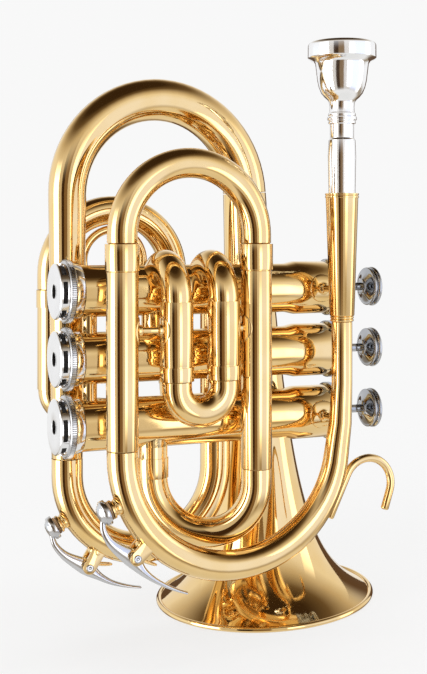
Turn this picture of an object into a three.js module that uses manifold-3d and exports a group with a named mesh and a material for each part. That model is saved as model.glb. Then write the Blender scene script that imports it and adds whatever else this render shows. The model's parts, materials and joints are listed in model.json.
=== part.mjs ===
// Pocket trumpet, in millimetres, +Z up, standing on its bell.
//
// Everything except the bell is square to the valve block, so the sizes below are in the block's
// frame: x runs along the valves from the foot of the casings to the finger buttons, y runs away
// from the player's left hand side, z runs up the tubes, and 0 lies on the middle valve's axis.
// The bell leans a little in that frame. The last lines turn the block so that the rim lies flat.

import * as THREE from 'three';
import { mergeVertices } from 'three/addons/utils/BufferGeometryUtils.js';
import Module from 'manifold-3d';

const wasm = await Module();
wasm.setup();

// Clearances
const touch_gap = 0.3;
const slide_play = 0.3;
const pin_play = 0.3;

// Facets: sides of a tube, and the steps of a half turn
const tube_sides = 10;
const wide_tube_sides = 12;
const bell_sides = 28;
const valve_sides = 16;
const piston_sides = 10;
const clear_sides = 20;
const small_sides = 8;
const blend_steps = 30;
const wide_bow_steps = 9;
const slide_bow_steps = 8;
const small_bow_steps = 6;
const weld_reach = 1e-4;

// Valve block
const valve_pitch = 25.9;
const casing_length = 106.5;
const casing_lower_radius = 10;
const casing_upper_radius = 10.9;
const casing_upper_length = 15.5;
const casing_cone_length = 4;
const casing_bore_radius = 8.9;
const stud_radius = 2.9;
const stud_root = 0.8;
const lower_stud_x = 4.2;
const upper_stud_inset = 4;
const valve_stroke = 13.5;

const bottom_cap_height = 9.7;
const bottom_cap_radius = 10.9;
const bottom_cap_floor = 1.2;
const bottom_cap_hollow_radius = 9.2;
const bottom_cap_rim_radius = 11.9;
const bottom_cap_rim_height = 2.4;
const bottom_cap_bevel = 0.6;
const vent_radius = 2.75;
const cap_slots = 8;
const cap_slot_depth = 1.1;
const cap_slot_height = 2.6;
const cap_slot_width = 6;
const cap_slot_start = 1.1;

const top_cap_height = 3.2;
const top_cap_radius = 11.5;
const top_cap_bevel = 0.8;

const piston_foot = 17.5;
const piston_head_room = 2.5;
const piston_wall = 0.8;
const piston_head = 2;
const spring_seat_depth = 6.5;
const spring_seat_thickness = 1;
const spring_seat_hole_radius = 4;
const spring_radius = 6.6;
const spring_wire_radius = 0.45;
const spring_turns = 5;
const spring_steps_per_turn = 5;
const spring_wire_sides = 3;

const stem_radius = 1.7;
const button_rim_radius = 8.35;
const button_rim_height = 4.3;
const button_cone_height = 2.4;
const button_cone_radius = 7.4;
const button_hub_radius = 3.2;
const button_dish_depth = 1;
const button_dish_radius = 6.8;
const button_bevel = 0.7;

// Tubing
const sleeve_radius = 6;
const bow_radius = 5.65;
const slide_leg_radius = 5.2;
const tube_wall = 0.5;
const ferrule_radius = 6.4;
const front_y = -26.4;

// Mouthpiece, from the top of the rim down
const lead_inset = 6.2;
const mouthpiece_top = 124;
const cup_rim_radius = 13.6;
const cup_rim_height = 6.6;
const cup_rim_round = 1.6;
const cup_rim_inner_radius = 8.2;
const cup_neck_radius = 10.3;
const cup_shoulder_drop = 2;
const cup_body_radius = 9.2;
const cup_body_drop = 15.2;
const cup_tail_radius = 6.9;
const cup_tail_drop = 19.9;
const neck_radius = 5.2;
const neck_drop = 22.7;
const bead_radius = 5.9;
const bead_top_drop = 27.9;
const bead_foot_drop = 32.5;
const stalk_radius = 4.75;
const stalk_drop = 38;
const shank_radius = 5.6;
const shank_shoulder_drop = 45.4;
const shank_foot_radius = 4.9;
const shank_foot_drop = 85;
const cup_depth = 11;
const cup_floor_radius = 6;
const throat_radius = 1.85;
const backbore_radius = 4;

// Receiver and leadpipe
const receiver_top = 64.1;
const receiver_ring_radius = 6.73;
const receiver_ring_height = 1.8;
const receiver_mouth_radius = 6.45;
const receiver_foot_radius = 4.95;
const receiver_foot = 15.5;
const receiver_tail_height = 2.2;
const receiver_tail_radius = 4.65;
const receiver_bore_radius = 3.7;
const leadpipe_radius = 4.1;
const leadpipe_bow_start_radius = 5;
const leadpipe_bow_radius = 5.75;
const lead_bow_z = -33.8;
const lead_bow_step = 2.2;
const lead_blend_angle = THREE.MathUtils.degToRad(11);
const lead_grow_angle = THREE.MathUtils.degToRad(45);

// Tuning slide
const tuning_left_x = 8.9;
const tuning_spacing = 54.1;
const left_sleeve_foot = -31.4;
const right_sleeve_foot = -41.85;
const tuning_ferrule_foot = 34.3;
const tuning_ferrule_top = 44.2;
const tuning_bow_z = 47.6;
const tuning_leg_length = 44;

// Inlet to the third valve
const inlet_x = 29.2;
const inlet_y = -2.5;
const inlet_radius = 5.8;
const inlet_bow_z = -47.3;
const inlet_ferrule_height = 7.7;
const inlet_ferrule_radius = 6.2;

// Knuckles between the valves
const upper_knuckle_x = 31.4;
const lower_knuckle_x = 17.9;
const knuckle_radius = 5.85;

// First slide
const first_slide_x = 30.3;
const first_slide_spacing = 19.1;
const first_arch_z = 23.1;
const first_sleeve_top = 22.5;
const first_ferrule_top = -1.8;
const first_ferrule_foot = -7.1;
const first_bow_z = -9.8;
const first_leg_length = 23;

// Second slide
const second_slide_x = 18;
const second_slide_spacing = 18;
const second_sleeve_end = 25;
const second_ferrule_length = 4;
const second_bow_y = 27.5;
const second_leg_length = 13;

// Third slide
const third_slide_x = -1.3;
const third_slide_spacing = 53.2;
const third_slide_y = 36.3;
const third_ferrule_top = 25;
const third_ferrule_length = 7.2;
const third_sleeve_foot = -15.9;
const third_elbow_radius = 10;
const third_left_port_x = 22;
const third_bow_z = 31.6;
const third_leg_length = 32;
const finger_ring_inner_radius = 11.4;
const finger_ring_wire_radius = 1.75;
const finger_ring_steps = 16;

// Bell tail, bell bow and bell
const tail_x = 64.2;
const tail_y = 18;
const tail_radius = 6.3;
const tail_elbow_radius = 10;
const bottom_bow_z = -48.9;
const left_leg_x = 0.9;
const left_leg_y = 20.4;
const bell_bow_foot = -41.6;
const bell_bow_foot_radius = 6.25;
const bell_bow_shoulder_z = 51;
const bell_bow_shoulder_radius = 7.4;
const bell_bow_top_radius = 8.7;
const bell_bow_z = 63.7;
const bell_bow_bend_radius = 40.3;
const bell_back_offset = 5.6;
const bell_lean = THREE.MathUtils.degToRad(3.2);
const bell_length = 174.8;
const bell_rim_radius = 47;
const bell_flare_length = 12.5;
const bell_flare_power = 0.6;
const bell_wall = 0.7;
const bell_bead = 2.3;
const bell_bead_corner_share = 0.26;
const bell_bead_width_share = 0.045;
const bell_rise = 0.9;
const bell_steps = 7;

// Finger hook, a rod soldered along the leadpipe bow and bent over for the little finger
const hook_rod_radius = 1.6;
const hook_foot_angle = THREE.MathUtils.degToRad(36.5);
const hook_rise_angle = THREE.MathUtils.degToRad(64.3);
const hook_stem_length = 18.4;
const hook_bend_radius = 10.5;
const hook_bend_angle = THREE.MathUtils.degToRad(172);
const hook_tip_length = 8;

// Water keys: heights above the outside of the bow, widths across it
const key_nipple_radius = 2.4;
const key_nipple_rim_radius = 3.2;
const key_nipple_rim_height = 0.8;
const key_nipple_hole_radius = 1.2;
const key_nipple_height = 2.2;
const key_nipple_root = 1.2;
const key_cork_radius = 3.5;
const key_cork_height = 1.9;
const key_cup_radius = 4.6;
const key_cup_height = 3.4;
const key_cup_depth = 1;
const key_cup_bevel = 0.8;
const key_lever_height = 7;
const key_lever_thickness = 3.4;
const key_lever_width = 3;
const key_lever_steps = 9;
const key_hub_radius = 1.9;
const key_hub_width = 4;
const key_screw_radius = 0.9;
const key_lug_thickness = 1.5;
const key_lug_radius = 2.4;
const key_lug_steps = 4;
const key_saddle_floor = 1.5;
const key_saddle_root = 3.2;

const lead_key_cup_angle = THREE.MathUtils.degToRad(21.5);
const lead_key_pivot_angle = THREE.MathUtils.degToRad(43);
const lead_key_tip_angle = THREE.MathUtils.degToRad(70);
const lead_key_pivot_height = 4.2;
const tail_key_cup_angle = THREE.MathUtils.degToRad(28.8);
const tail_key_pivot_angle = THREE.MathUtils.degToRad(57.9);
const tail_key_tip_angle = THREE.MathUtils.degToRad(88.6);
const tail_key_pivot_height = 5.8;

// Places along a lever from the cup to the finger end: shares of the angle round the bow, of the
// lever's height over the bow and of its thickness
const lead_lever_shares = [
  [0, 1, 0.5],
  [0.1, 1.34, 0.56],
  [0.22, 1.34, 0.66],
  [0.34, 1.05, 0.92],
  [0.45, 0.84, 1],
  [0.65, 0.97, 0.62],
  [0.8, 0.88, 0.42],
  [1, 0.86, 0.26],
];
const tail_lever_shares = [
  [0, 1, 0.5],
  [0.15, 1.26, 0.56],
  [0.35, 1.17, 0.85],
  [0.49, 0.96, 1],
  [0.62, 1.12, 0.72],
  [0.74, 1.26, 0.5],
  [1, 1.43, 0.26],
];

// Braces: a rod with a thin round flange bent to sit on each tube
const brace_rod_radius = 1.3;
const brace_flange_radius = 6;
const brace_flange_reach_share = 0.88;
const brace_flange_thickness = 0.6;
const brace_collar_radius = 2.2;
const brace_collar_height = 0.9;
const front_brace_z = 12.1;
const receiver_brace_z = 25.9;

// Derived sizes
const lead_x = casing_length - lead_inset;
const piston_radius = casing_bore_radius - slide_play;
const stem_hole_radius = stem_radius + slide_play;
const sleeve_bore_radius = slide_leg_radius + slide_play;
const leg_bore_radius = slide_leg_radius - tube_wall;
const bow_bore_radius = bow_radius - tube_wall;
const top_cap_foot = casing_length + touch_gap;
const top_cap_face = top_cap_foot + top_cap_height;
const piston_top = casing_length - piston_head_room;
const button_foot = top_cap_face + touch_gap + valve_stroke;
const receiver_end = receiver_foot - receiver_tail_height;
const casing_cone_start = casing_length - casing_upper_length - casing_cone_length;
const lead_bow_bend_radius = (lead_x - lead_bow_step - tuning_left_x) / 2;
const lead_bow_x = tuning_left_x + lead_bow_bend_radius;
const tuning_right_x = tuning_left_x + tuning_spacing;

// Axes
const X = new THREE.Vector3(1, 0, 0);
const Y = new THREE.Vector3(0, 1, 0);
const Z = new THREE.Vector3(0, 0, 1);
const LEFT = X.clone().negate();
const TOWARD = Y.clone().negate();
const DOWN = Z.clone().negate();

// Materials
const lacquered_brass = new THREE.MeshStandardMaterial({ color: 0xd8a548, roughness: 0.18, metalness: 1 });
const silver_plate = new THREE.MeshStandardMaterial({ color: 0xd8d8d6, roughness: 0.15, metalness: 1 });
const nickel_plate = new THREE.MeshStandardMaterial({ color: 0xb9b8b2, roughness: 0.2, metalness: 1 });
const spring_steel = new THREE.MeshStandardMaterial({ color: 0x8f9092, roughness: 0.35, metalness: 1 });
const cork = new THREE.MeshStandardMaterial({ color: 0xb98a5a, roughness: 0.9, metalness: 0 });

// Geometry helpers

// A closed surface with every face turned outward.
function facing_out(geometry) {
  const place = geometry.getAttribute('position');
  const index = geometry.getIndex().array;
  const a = new THREE.Vector3();
  const b = new THREE.Vector3();
  const c = new THREE.Vector3();
  let volume = 0;
  for (let i = 0; i < index.length; i += 3) {
    a.fromBufferAttribute(place, index[i]);
    b.fromBufferAttribute(place, index[i + 1]);
    c.fromBufferAttribute(place, index[i + 2]);
    volume += a.dot(b.cross(c));
  }
  if (volume < 0) {
    for (let i = 0; i < index.length; i += 3) {
      [index[i + 1], index[i + 2]] = [index[i + 2], index[i + 1]];
    }
  }
  return geometry;
}

// The same surface with one vertex at each place and no empty triangles.
function welded(geometry) {
  const plain = geometry.clone();
  plain.deleteAttribute('normal');
  plain.deleteAttribute('uv');
  const merged = mergeVertices(plain, weld_reach);
  const index = merged.getIndex().array;
  const kept = [];
  for (let i = 0; i < index.length; i += 3) {
    const [a, b, c] = [index[i], index[i + 1], index[i + 2]];
    if (a !== b && b !== c && c !== a) kept.push(a, b, c);
  }
  merged.setIndex(kept);
  return facing_out(merged);
}

function to_solid(geometry) {
  const merged = welded(geometry);
  return new wasm.Manifold(new wasm.Mesh({
    numProp: 3,
    vertProperties: new Float32Array(merged.getAttribute('position').array),
    triVerts: new Uint32Array(merged.getIndex().array),
  }));
}

function to_geometry(solid) {
  const mesh = solid.getMesh();
  const geometry = new THREE.BufferGeometry();
  geometry.setAttribute('position', new THREE.BufferAttribute(new Float32Array(mesh.vertProperties), 3));
  geometry.setIndex(new THREE.BufferAttribute(new Uint32Array(mesh.triVerts), 1));
  return geometry;
}

function cut(geometry, ...tools) {
  let solid = to_solid(geometry);
  for (const tool of tools) solid = solid.subtract(to_solid(tool));
  return to_geometry(solid);
}

function join(geometry, ...others) {
  let solid = to_solid(geometry);
  for (const other of others) solid = solid.add(to_solid(other));
  return to_geometry(solid);
}

function shared(geometry, other) {
  return to_geometry(to_solid(geometry).intersect(to_solid(other)));
}

// A revolved solid about local +Z from [radius, height] pairs.
function turned(profile, sides) {
  const points = profile.map(([radius, height]) => new THREE.Vector2(radius, height));
  return welded(new THREE.LatheGeometry(points, sides).rotateX(Math.PI / 2));
}

// A hollow turned piece: the outside from foot to top, then the inside from top to foot.
function turned_shell(outside, inside, sides) {
  return turned([...outside, ...inside, outside[0]], sides);
}

function placed(geometry, origin, direction) {
  const turn = new THREE.Quaternion().setFromUnitVectors(Z, direction);
  return geometry.clone().applyQuaternion(turn).translate(origin.x, origin.y, origin.z);
}

function rod(start, end, radius, sides) {
  const along = end.clone().sub(start);
  const length = along.length();
  const bar = turned([[0, 0], [radius, 0], [radius, length], [0, length]], sides);
  return placed(bar, start, along.normalize());
}

// A centre line made of straight runs and bends, as a tube maker would lay it out.
class Route {
  constructor(start, heading) {
    this.pieces = [];
    this.length = 0;
    this.end = { point: start.clone(), heading: heading.clone(), side: new THREE.Vector3() };
    const across = Math.abs(heading.y) > Math.abs(heading.x) ? X : Y;
    this.end.side.crossVectors(heading, across).normalize();
  }

  straight(length) {
    this.pieces.push({ from: this.length, length, start: this.end, steps: 1 });
    this.length += length;
    this.end = this.frame(this.length);
    return this;
  }

  bend(radius, angle, axis, half_turn_steps) {
    const steps = Math.max(1, Math.round(half_turn_steps * angle / Math.PI));
    const centre = this.end.point.clone().addScaledVector(axis.clone().cross(this.end.heading), radius);
    const length = radius * angle;
    this.pieces.push({ from: this.length, length, start: this.end, steps, radius, axis, centre });
    this.length += length;
    this.end = this.frame(this.length);
    return this;
  }

  frame(distance) {
    const piece = this.pieces.findLast((each) => distance >= each.from) ?? this.pieces[0];
    const run = distance - piece.from;
    const { point, heading, side } = piece.start;
    if (!piece.axis) {
      return { point: point.clone().addScaledVector(heading, run), heading: heading.clone(), side: side.clone() };
    }
    const turn = new THREE.Quaternion().setFromAxisAngle(piece.axis, run / piece.radius);
    return {
      point: point.clone().sub(piece.centre).applyQuaternion(turn).add(piece.centre),
      heading: heading.clone().applyQuaternion(turn),
      side: side.clone().applyQuaternion(turn),
    };
  }

  // Distances of the facet rings.
  stops() {
    const list = [];
    for (const piece of this.pieces) {
      for (let i = 0; i <= piece.steps; i += 1) list.push(piece.from + piece.length * i / piece.steps);
    }
    return list;
  }
}

// Rings of [distance, radius] along a route: the given ones, and the route's own stops between them.
function rings_along(route, sizes) {
  const rings = [sizes[0]];
  for (let i = 1; i < sizes.length; i += 1) {
    const [from, first] = sizes[i - 1];
    const [to, last] = sizes[i];
    let previous = from;
    for (const stop of route.stops()) {
      if (stop > previous + touch_gap && stop < to - touch_gap) {
        rings.push([stop, first + (last - first) * (stop - from) / (to - from)]);
        previous = stop;
      }
    }
    rings.push(sizes[i]);
  }
  return rings;
}

// A tube that follows a route. The outside and the inside each have [distance, radius] pairs.
function pipe(route, outside, inside, sides) {
  const outer = rings_along(route, outside);
  const inner = inside ? rings_along(route, inside).reverse() : [];
  const rings = [...outer, ...inner];
  const places = [];
  for (const [distance, radius] of rings) {
    const { point, heading, side } = route.frame(distance);
    const up = heading.clone().cross(side);
    for (let i = 0; i < sides; i += 1) {
      const angle = 2 * Math.PI * i / sides;
      places.push(
        point.x + radius * (Math.cos(angle) * side.x + Math.sin(angle) * up.x),
        point.y + radius * (Math.cos(angle) * side.y + Math.sin(angle) * up.y),
        point.z + radius * (Math.cos(angle) * side.z + Math.sin(angle) * up.z),
      );
    }
  }
  const index = [];
  const strips = inside ? rings.length : rings.length - 1;
  for (let k = 0; k < strips; k += 1) {
    const here = k * sides;
    const next = ((k + 1) % rings.length) * sides;
    for (let i = 0; i < sides; i += 1) {
      const j = (i + 1) % sides;
      index.push(here + i, here + j, next + j, here + i, next + j, next + i);
    }
  }
  if (!inside) {
    const last = (rings.length - 1) * sides;
    for (let i = 1; i < sides - 1; i += 1) {
      index.push(0, i + 1, i);
      index.push(last, last + i, last + i + 1);
    }
  }
  const geometry = new THREE.BufferGeometry();
  geometry.setAttribute('position', new THREE.Float32BufferAttribute(places, 3));
  geometry.setIndex(index);
  return facing_out(geometry);
}

function even_pipe(route, radius, wall, sides) {
  const whole = (size) => [[0, size], [route.length, size]];
  return pipe(route, whole(radius), wall ? whole(radius - wall) : null, sides);
}

const block = new THREE.Group();

function add(name, geometry, material, parent = block) {
  const shape = welded(geometry);
  shape.computeVertexNormals();
  const mesh = new THREE.Mesh(shape, material);
  mesh.name = name;
  parent.add(mesh);
  return mesh;
}

function casing_outline(growth) {
  const lower = casing_lower_radius + growth;
  const upper = casing_upper_radius + growth;
  const cone_end = casing_cone_start + casing_cone_length;
  return [[lower, 0], [lower, casing_cone_start], [upper, cone_end], [upper, casing_length]];
}

// The space of a valve casing with the gap that every piece around it keeps, along local +Z.
function casing_plug(growth) {
  return turned([[0, 0], ...casing_outline(touch_gap + growth), [0, casing_length]], clear_sides);
}

function casing_space(z, growth) {
  return placed(casing_plug(growth), new THREE.Vector3(0, 0, z), X);
}

const first_valve_z = valve_pitch;
const third_valve_z = -valve_pitch;

// Valves

// A stud from a casing to the next one below it, along local +X of the valve.
function stud(along, radius) {
  const start = new THREE.Vector3(radius - stud_root, 0, along);
  const end = new THREE.Vector3(valve_pitch, 0, along);
  return rod(start, end, stud_radius, small_sides);
}

function add_valve(number, z) {
  const valve = new THREE.Group();
  valve.position.set(0, 0, z);
  valve.quaternion.setFromUnitVectors(Z, X);
  block.add(valve);
  const name = (piece) => `valve_${number}_${piece}`;

  const bore = [[casing_bore_radius, casing_length], [casing_bore_radius, 0]];
  const tube = turned_shell(casing_outline(0), bore, valve_sides);
  const studs = [
    stud(lower_stud_x, casing_lower_radius),
    stud(casing_length - upper_stud_inset, casing_upper_radius),
  ];
  const next_space = casing_plug(0).translate(valve_pitch, 0, 0);
  const casing = z > third_valve_z ? cut(join(tube, ...studs), next_space) : tube;
  add(name('casing'), casing, lacquered_brass, valve);

  const rim_foot = bottom_cap_height - bottom_cap_rim_height;
  const bottom_cap = turned_shell(
    [[vent_radius, 0], [bottom_cap_radius - bottom_cap_bevel, 0], [bottom_cap_radius, bottom_cap_bevel],
      [bottom_cap_radius, rim_foot], [bottom_cap_rim_radius, rim_foot],
      [bottom_cap_rim_radius, bottom_cap_height]],
    [[bottom_cap_hollow_radius, bottom_cap_height], [bottom_cap_hollow_radius, bottom_cap_floor],
      [vent_radius, bottom_cap_floor]],
    valve_sides,
  );
  const slots = [];
  for (let i = 0; i < cap_slots; i += 1) {
    slots.push(new THREE.BoxGeometry(cap_slot_depth * 2, cap_slot_width, cap_slot_height)
      .translate(bottom_cap_radius, 0, cap_slot_start + cap_slot_height / 2)
      .rotateZ(2 * Math.PI * i / cap_slots));
  }
  const cap_foot = -touch_gap - bottom_cap_height;
  add(name('bottom_cap'), cut(bottom_cap, ...slots), silver_plate, valve).position.z = cap_foot;

  const top_cap = turned_shell(
    [[stem_hole_radius, 0], [top_cap_radius, 0], [top_cap_radius, top_cap_height - top_cap_bevel],
      [top_cap_radius - top_cap_bevel, top_cap_height]],
    [[stem_hole_radius, top_cap_height]],
    valve_sides,
  );
  add(name('top_cap'), top_cap, nickel_plate, valve).position.z = top_cap_foot;

  const seat_foot = piston_foot + spring_seat_depth;
  const seat_top = seat_foot + spring_seat_thickness;
  const hollow = piston_radius - piston_wall;
  const piston = turned(
    [[piston_radius, piston_foot], [piston_radius, piston_top], [0, piston_top],
      [0, piston_top - piston_head], [hollow, piston_top - piston_head], [hollow, seat_top],
      [spring_seat_hole_radius, seat_top], [spring_seat_hole_radius, seat_foot], [hollow, seat_foot],
      [hollow, piston_foot], [piston_radius, piston_foot]],
    piston_sides,
  );
  add(name('piston'), piston, nickel_plate, valve);

  const spring_foot = cap_foot + bottom_cap_floor + touch_gap + spring_wire_radius;
  const spring_top = seat_foot - touch_gap - spring_wire_radius;
  add(name('spring'), helix(spring_foot, spring_top), spring_steel, valve);

  const stem_foot = piston_top + touch_gap;
  const stem = rod(Z.clone().multiplyScalar(stem_foot),
    Z.clone().multiplyScalar(button_foot - touch_gap), stem_radius, small_sides);
  add(name('stem'), stem, nickel_plate, valve);

  const rim_top = button_cone_height + button_rim_height;
  const button = turned(
    [[0, 0], [button_hub_radius, 0], [button_cone_radius, button_cone_height],
      [button_rim_radius, button_cone_height + button_bevel], [button_rim_radius, rim_top - button_bevel],
      [button_rim_radius - button_bevel, rim_top], [button_dish_radius, rim_top],
      [button_dish_radius / 2, rim_top - button_dish_depth], [0, rim_top - button_dish_depth]],
    valve_sides,
  );
  add(name('button'), button, nickel_plate, valve).position.z = button_foot;
}

// A coil spring along local +Z as one wire.
function helix(foot, top) {
  const count = spring_turns * spring_steps_per_turn;
  const places = [];
  for (let k = 0; k <= count; k += 1) {
    const angle = 2 * Math.PI * k / spring_steps_per_turn;
    const centre = foot + (top - foot) * k / count;
    for (let i = 0; i < spring_wire_sides; i += 1) {
      const round = 2 * Math.PI * i / spring_wire_sides;
      const reach = spring_radius + spring_wire_radius * Math.cos(round);
      places.push(reach * Math.cos(angle), reach * Math.sin(angle), centre + spring_wire_radius * Math.sin(round));
    }
  }
  const index = [];
  for (let k = 0; k < count; k += 1) {
    for (let i = 0; i < spring_wire_sides; i += 1) {
      const j = (i + 1) % spring_wire_sides;
      const here = k * spring_wire_sides;
      const next = here + spring_wire_sides;
      index.push(here + i, next + j, here + j, here + i, next + i, next + j);
    }
  }
  const last = count * spring_wire_sides;
  for (let i = 1; i < spring_wire_sides - 1; i += 1) {
    index.push(0, i, i + 1);
    index.push(last, last + i + 1, last + i);
  }
  const geometry = new THREE.BufferGeometry();
  geometry.setAttribute('position', new THREE.Float32BufferAttribute(places, 3));
  geometry.setIndex(index);
  return facing_out(geometry);
}

add_valve(1, first_valve_z);
add_valve(2, 0);
add_valve(3, third_valve_z);

// Knuckles: short tubes between neighbouring casings

function add_knuckle(name, x, upper_z) {
  const lower_z = upper_z - valve_pitch;
  const route = new Route(new THREE.Vector3(x, 0, lower_z), Z).straight(valve_pitch);
  const tube = even_pipe(route, knuckle_radius, tube_wall, tube_sides);
  const spaces = [casing_space(lower_z, 0), casing_space(upper_z, 0)];
  add(name, cut(tube, ...spaces), lacquered_brass);
}

add_knuckle('knuckle_upper', upper_knuckle_x, first_valve_z);
add_knuckle('knuckle_lower', lower_knuckle_x, 0);

// Mouthpiece and receiver

function add_mouthpiece() {
  const down = (drop) => shank_foot_drop - drop;
  const rim_foot = cup_rim_height;
  const mouthpiece = turned_shell(
    [[shank_foot_radius, 0], [shank_radius, down(shank_shoulder_drop)],
      [stalk_radius, down(stalk_drop)], [stalk_radius, down(bead_foot_drop)],
      [bead_radius, down(bead_foot_drop)], [bead_radius, down(bead_top_drop)],
      [neck_radius, down(neck_drop)], [cup_tail_radius, down(cup_tail_drop)],
      [cup_body_radius, down(cup_body_drop)], [cup_neck_radius, down(rim_foot + cup_shoulder_drop)],
      [cup_rim_radius, down(rim_foot)], [cup_rim_radius, down(cup_rim_round)],
      [cup_rim_radius - cup_rim_round, down(0)]],
    [[cup_rim_inner_radius + cup_rim_round, down(0)], [cup_rim_inner_radius, down(cup_rim_round)],
      [cup_floor_radius, down(cup_depth - throat_radius)], [throat_radius, down(cup_depth + throat_radius)],
      [throat_radius, down(neck_drop)], [backbore_radius, 0]],
    wide_tube_sides,
  );
  const mesh = add('mouthpiece', mouthpiece, silver_plate);
  mesh.position.set(lead_x, front_y, mouthpiece_top - shank_foot_drop);
}

add_mouthpiece();

function add_receiver() {
  const top = receiver_top - receiver_end;
  const shank_end = mouthpiece_top - shank_foot_drop - touch_gap - receiver_end;
  const shank_slope = (shank_radius - shank_foot_radius) / (shank_foot_drop - shank_shoulder_drop);
  const shank_at_top = shank_foot_radius + shank_slope * (top - shank_end);
  const receiver = turned_shell(
    [[receiver_tail_radius, 0], [receiver_tail_radius, receiver_tail_height],
      [receiver_foot_radius, receiver_tail_height], [receiver_mouth_radius, top - receiver_ring_height],
      [receiver_ring_radius, top - receiver_ring_height], [receiver_ring_radius, top]],
    [[shank_at_top + slide_play, top], [shank_foot_radius + slide_play, shank_end],
      [receiver_bore_radius, shank_end], [receiver_bore_radius, 0]],
    tube_sides,
  );
  add('mouthpiece_receiver', receiver, lacquered_brass).position.set(lead_x, front_y, receiver_end);
}

add_receiver();

// Leadpipe: down from the receiver, round the wide bow and up to the left sleeve

const blend_cos = Math.cos(lead_blend_angle);
const lead_blend_radius = (lead_x - lead_bow_x - lead_bow_bend_radius * blend_cos) / (1 - blend_cos);
const lead_blend_top = lead_bow_z + (lead_blend_radius - lead_bow_bend_radius) * Math.sin(lead_blend_angle);

const lead_start = receiver_end - touch_gap;
const lead_route = new Route(new THREE.Vector3(lead_x, front_y, lead_start), DOWN)
  .straight(lead_start - lead_blend_top)
  .bend(lead_blend_radius, lead_blend_angle, Y, blend_steps)
  .bend(lead_bow_bend_radius, Math.PI - lead_blend_angle, Y, wide_bow_steps)
  .straight(left_sleeve_foot - touch_gap - lead_bow_z);
const lead_bow_start = lead_route.pieces[2].from;
const lead_full_size = lead_bow_start + lead_bow_bend_radius * lead_grow_angle;
const lead_sizes = (inset) => [
  [0, leadpipe_radius - inset],
  [lead_route.pieces[1].from, leadpipe_radius - inset],
  [lead_bow_start, leadpipe_bow_start_radius - inset],
  [lead_full_size, leadpipe_bow_radius - inset],
  [lead_route.length, leadpipe_bow_radius - inset],
];
add('leadpipe', pipe(lead_route, lead_sizes(0), lead_sizes(tube_wall), tube_sides), lacquered_brass);
const leadpipe_space = pipe(lead_route, lead_sizes(-touch_gap), null, tube_sides);

// Slides

// A straight outer sleeve with a ferrule at its open end.
function sleeve(route, ferrule_start) {
  const outside = [[0, sleeve_radius], [ferrule_start, sleeve_radius],
    [ferrule_start, ferrule_radius], [route.length, ferrule_radius]];
  const inside = [[0, sleeve_bore_radius], [route.length, sleeve_bore_radius]];
  return pipe(route, outside, inside, tube_sides);
}

// A crook: two thin legs that slide in the sleeves and a thicker bow that stays outside them.
function crook(leg_end, heading, leg_length, reach, spacing, axis, radius, steps) {
  const route = new Route(leg_end, heading)
    .straight(leg_length + reach)
    .bend(spacing / 2, Math.PI, axis, steps)
    .straight(leg_length + reach);
  const far = route.length;
  const outside = [[0, slide_leg_radius], [leg_length, slide_leg_radius], [leg_length, radius],
    [far - leg_length, radius], [far - leg_length, slide_leg_radius], [far, slide_leg_radius]];
  const inside = [[0, leg_bore_radius], [far, leg_bore_radius]];
  return pipe(route, outside, inside, tube_sides);
}

const tuning_left_route = new Route(new THREE.Vector3(tuning_left_x, front_y, left_sleeve_foot), Z)
  .straight(tuning_ferrule_top - left_sleeve_foot);
const tuning_right_route = new Route(new THREE.Vector3(tuning_right_x, front_y, right_sleeve_foot), Z)
  .straight(tuning_ferrule_top - right_sleeve_foot);
add('tuning_sleeve_left', sleeve(tuning_left_route, tuning_ferrule_foot - left_sleeve_foot), lacquered_brass);
add('tuning_sleeve_right', sleeve(tuning_right_route, tuning_ferrule_foot - right_sleeve_foot), lacquered_brass);

const tuning_leg_end = new THREE.Vector3(
  tuning_left_x, front_y, tuning_ferrule_top + touch_gap - tuning_leg_length);
const tuning_reach = tuning_bow_z - tuning_ferrule_top - touch_gap;
add('tuning_slide',
  crook(tuning_leg_end, Z, tuning_leg_length, tuning_reach, tuning_spacing, Y, bow_radius, slide_bow_steps),
  lacquered_brass);

// First slide: two arches over the front of the first casing, each with its sleeve, and a crook below.
function add_first_arch(name, x) {
  const arch_radius = -front_y / 2;
  const route = new Route(new THREE.Vector3(x, 0, first_arch_z), Z)
    .bend(arch_radius, Math.PI, X, small_bow_steps)
    .straight(first_arch_z - first_ferrule_foot);
  const down_from_arch = (z) => route.pieces[1].from + first_arch_z - z;
  const outside = [[0, bow_radius], [down_from_arch(first_sleeve_top), bow_radius],
    [down_from_arch(first_sleeve_top), sleeve_radius], [down_from_arch(first_ferrule_top), sleeve_radius],
    [down_from_arch(first_ferrule_top), ferrule_radius], [route.length, ferrule_radius]];
  const bore_step = down_from_arch(first_ferrule_foot + first_leg_length + slide_play);
  const inside = [[0, bow_bore_radius], [bore_step, bow_bore_radius],
    [bore_step, sleeve_bore_radius], [route.length, sleeve_bore_radius]];
  const arch = pipe(route, outside, inside, tube_sides);
  add(name, cut(arch, casing_space(first_valve_z, 0)), lacquered_brass);
}

const first_right_x = first_slide_x + first_slide_spacing;
add_first_arch('first_slide_arch_left', first_slide_x);
add_first_arch('first_slide_arch_right', first_right_x);
const first_leg_end = new THREE.Vector3(
  first_slide_x, front_y, first_ferrule_foot - touch_gap + first_leg_length);
const first_reach = first_ferrule_foot - touch_gap - first_bow_z;
add('first_slide_crook',
  crook(first_leg_end, DOWN, first_leg_length, first_reach, first_slide_spacing, TOWARD, bow_radius,
    small_bow_steps),
  lacquered_brass);

// Second slide: straight back from the middle valve.
function add_second_sleeve(name, x) {
  const route = new Route(new THREE.Vector3(x, 0, 0), Y).straight(second_sleeve_end);
  const tube = sleeve(route, second_sleeve_end - second_ferrule_length);
  add(name, cut(tube, casing_space(0, 0)), lacquered_brass);
}

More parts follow.
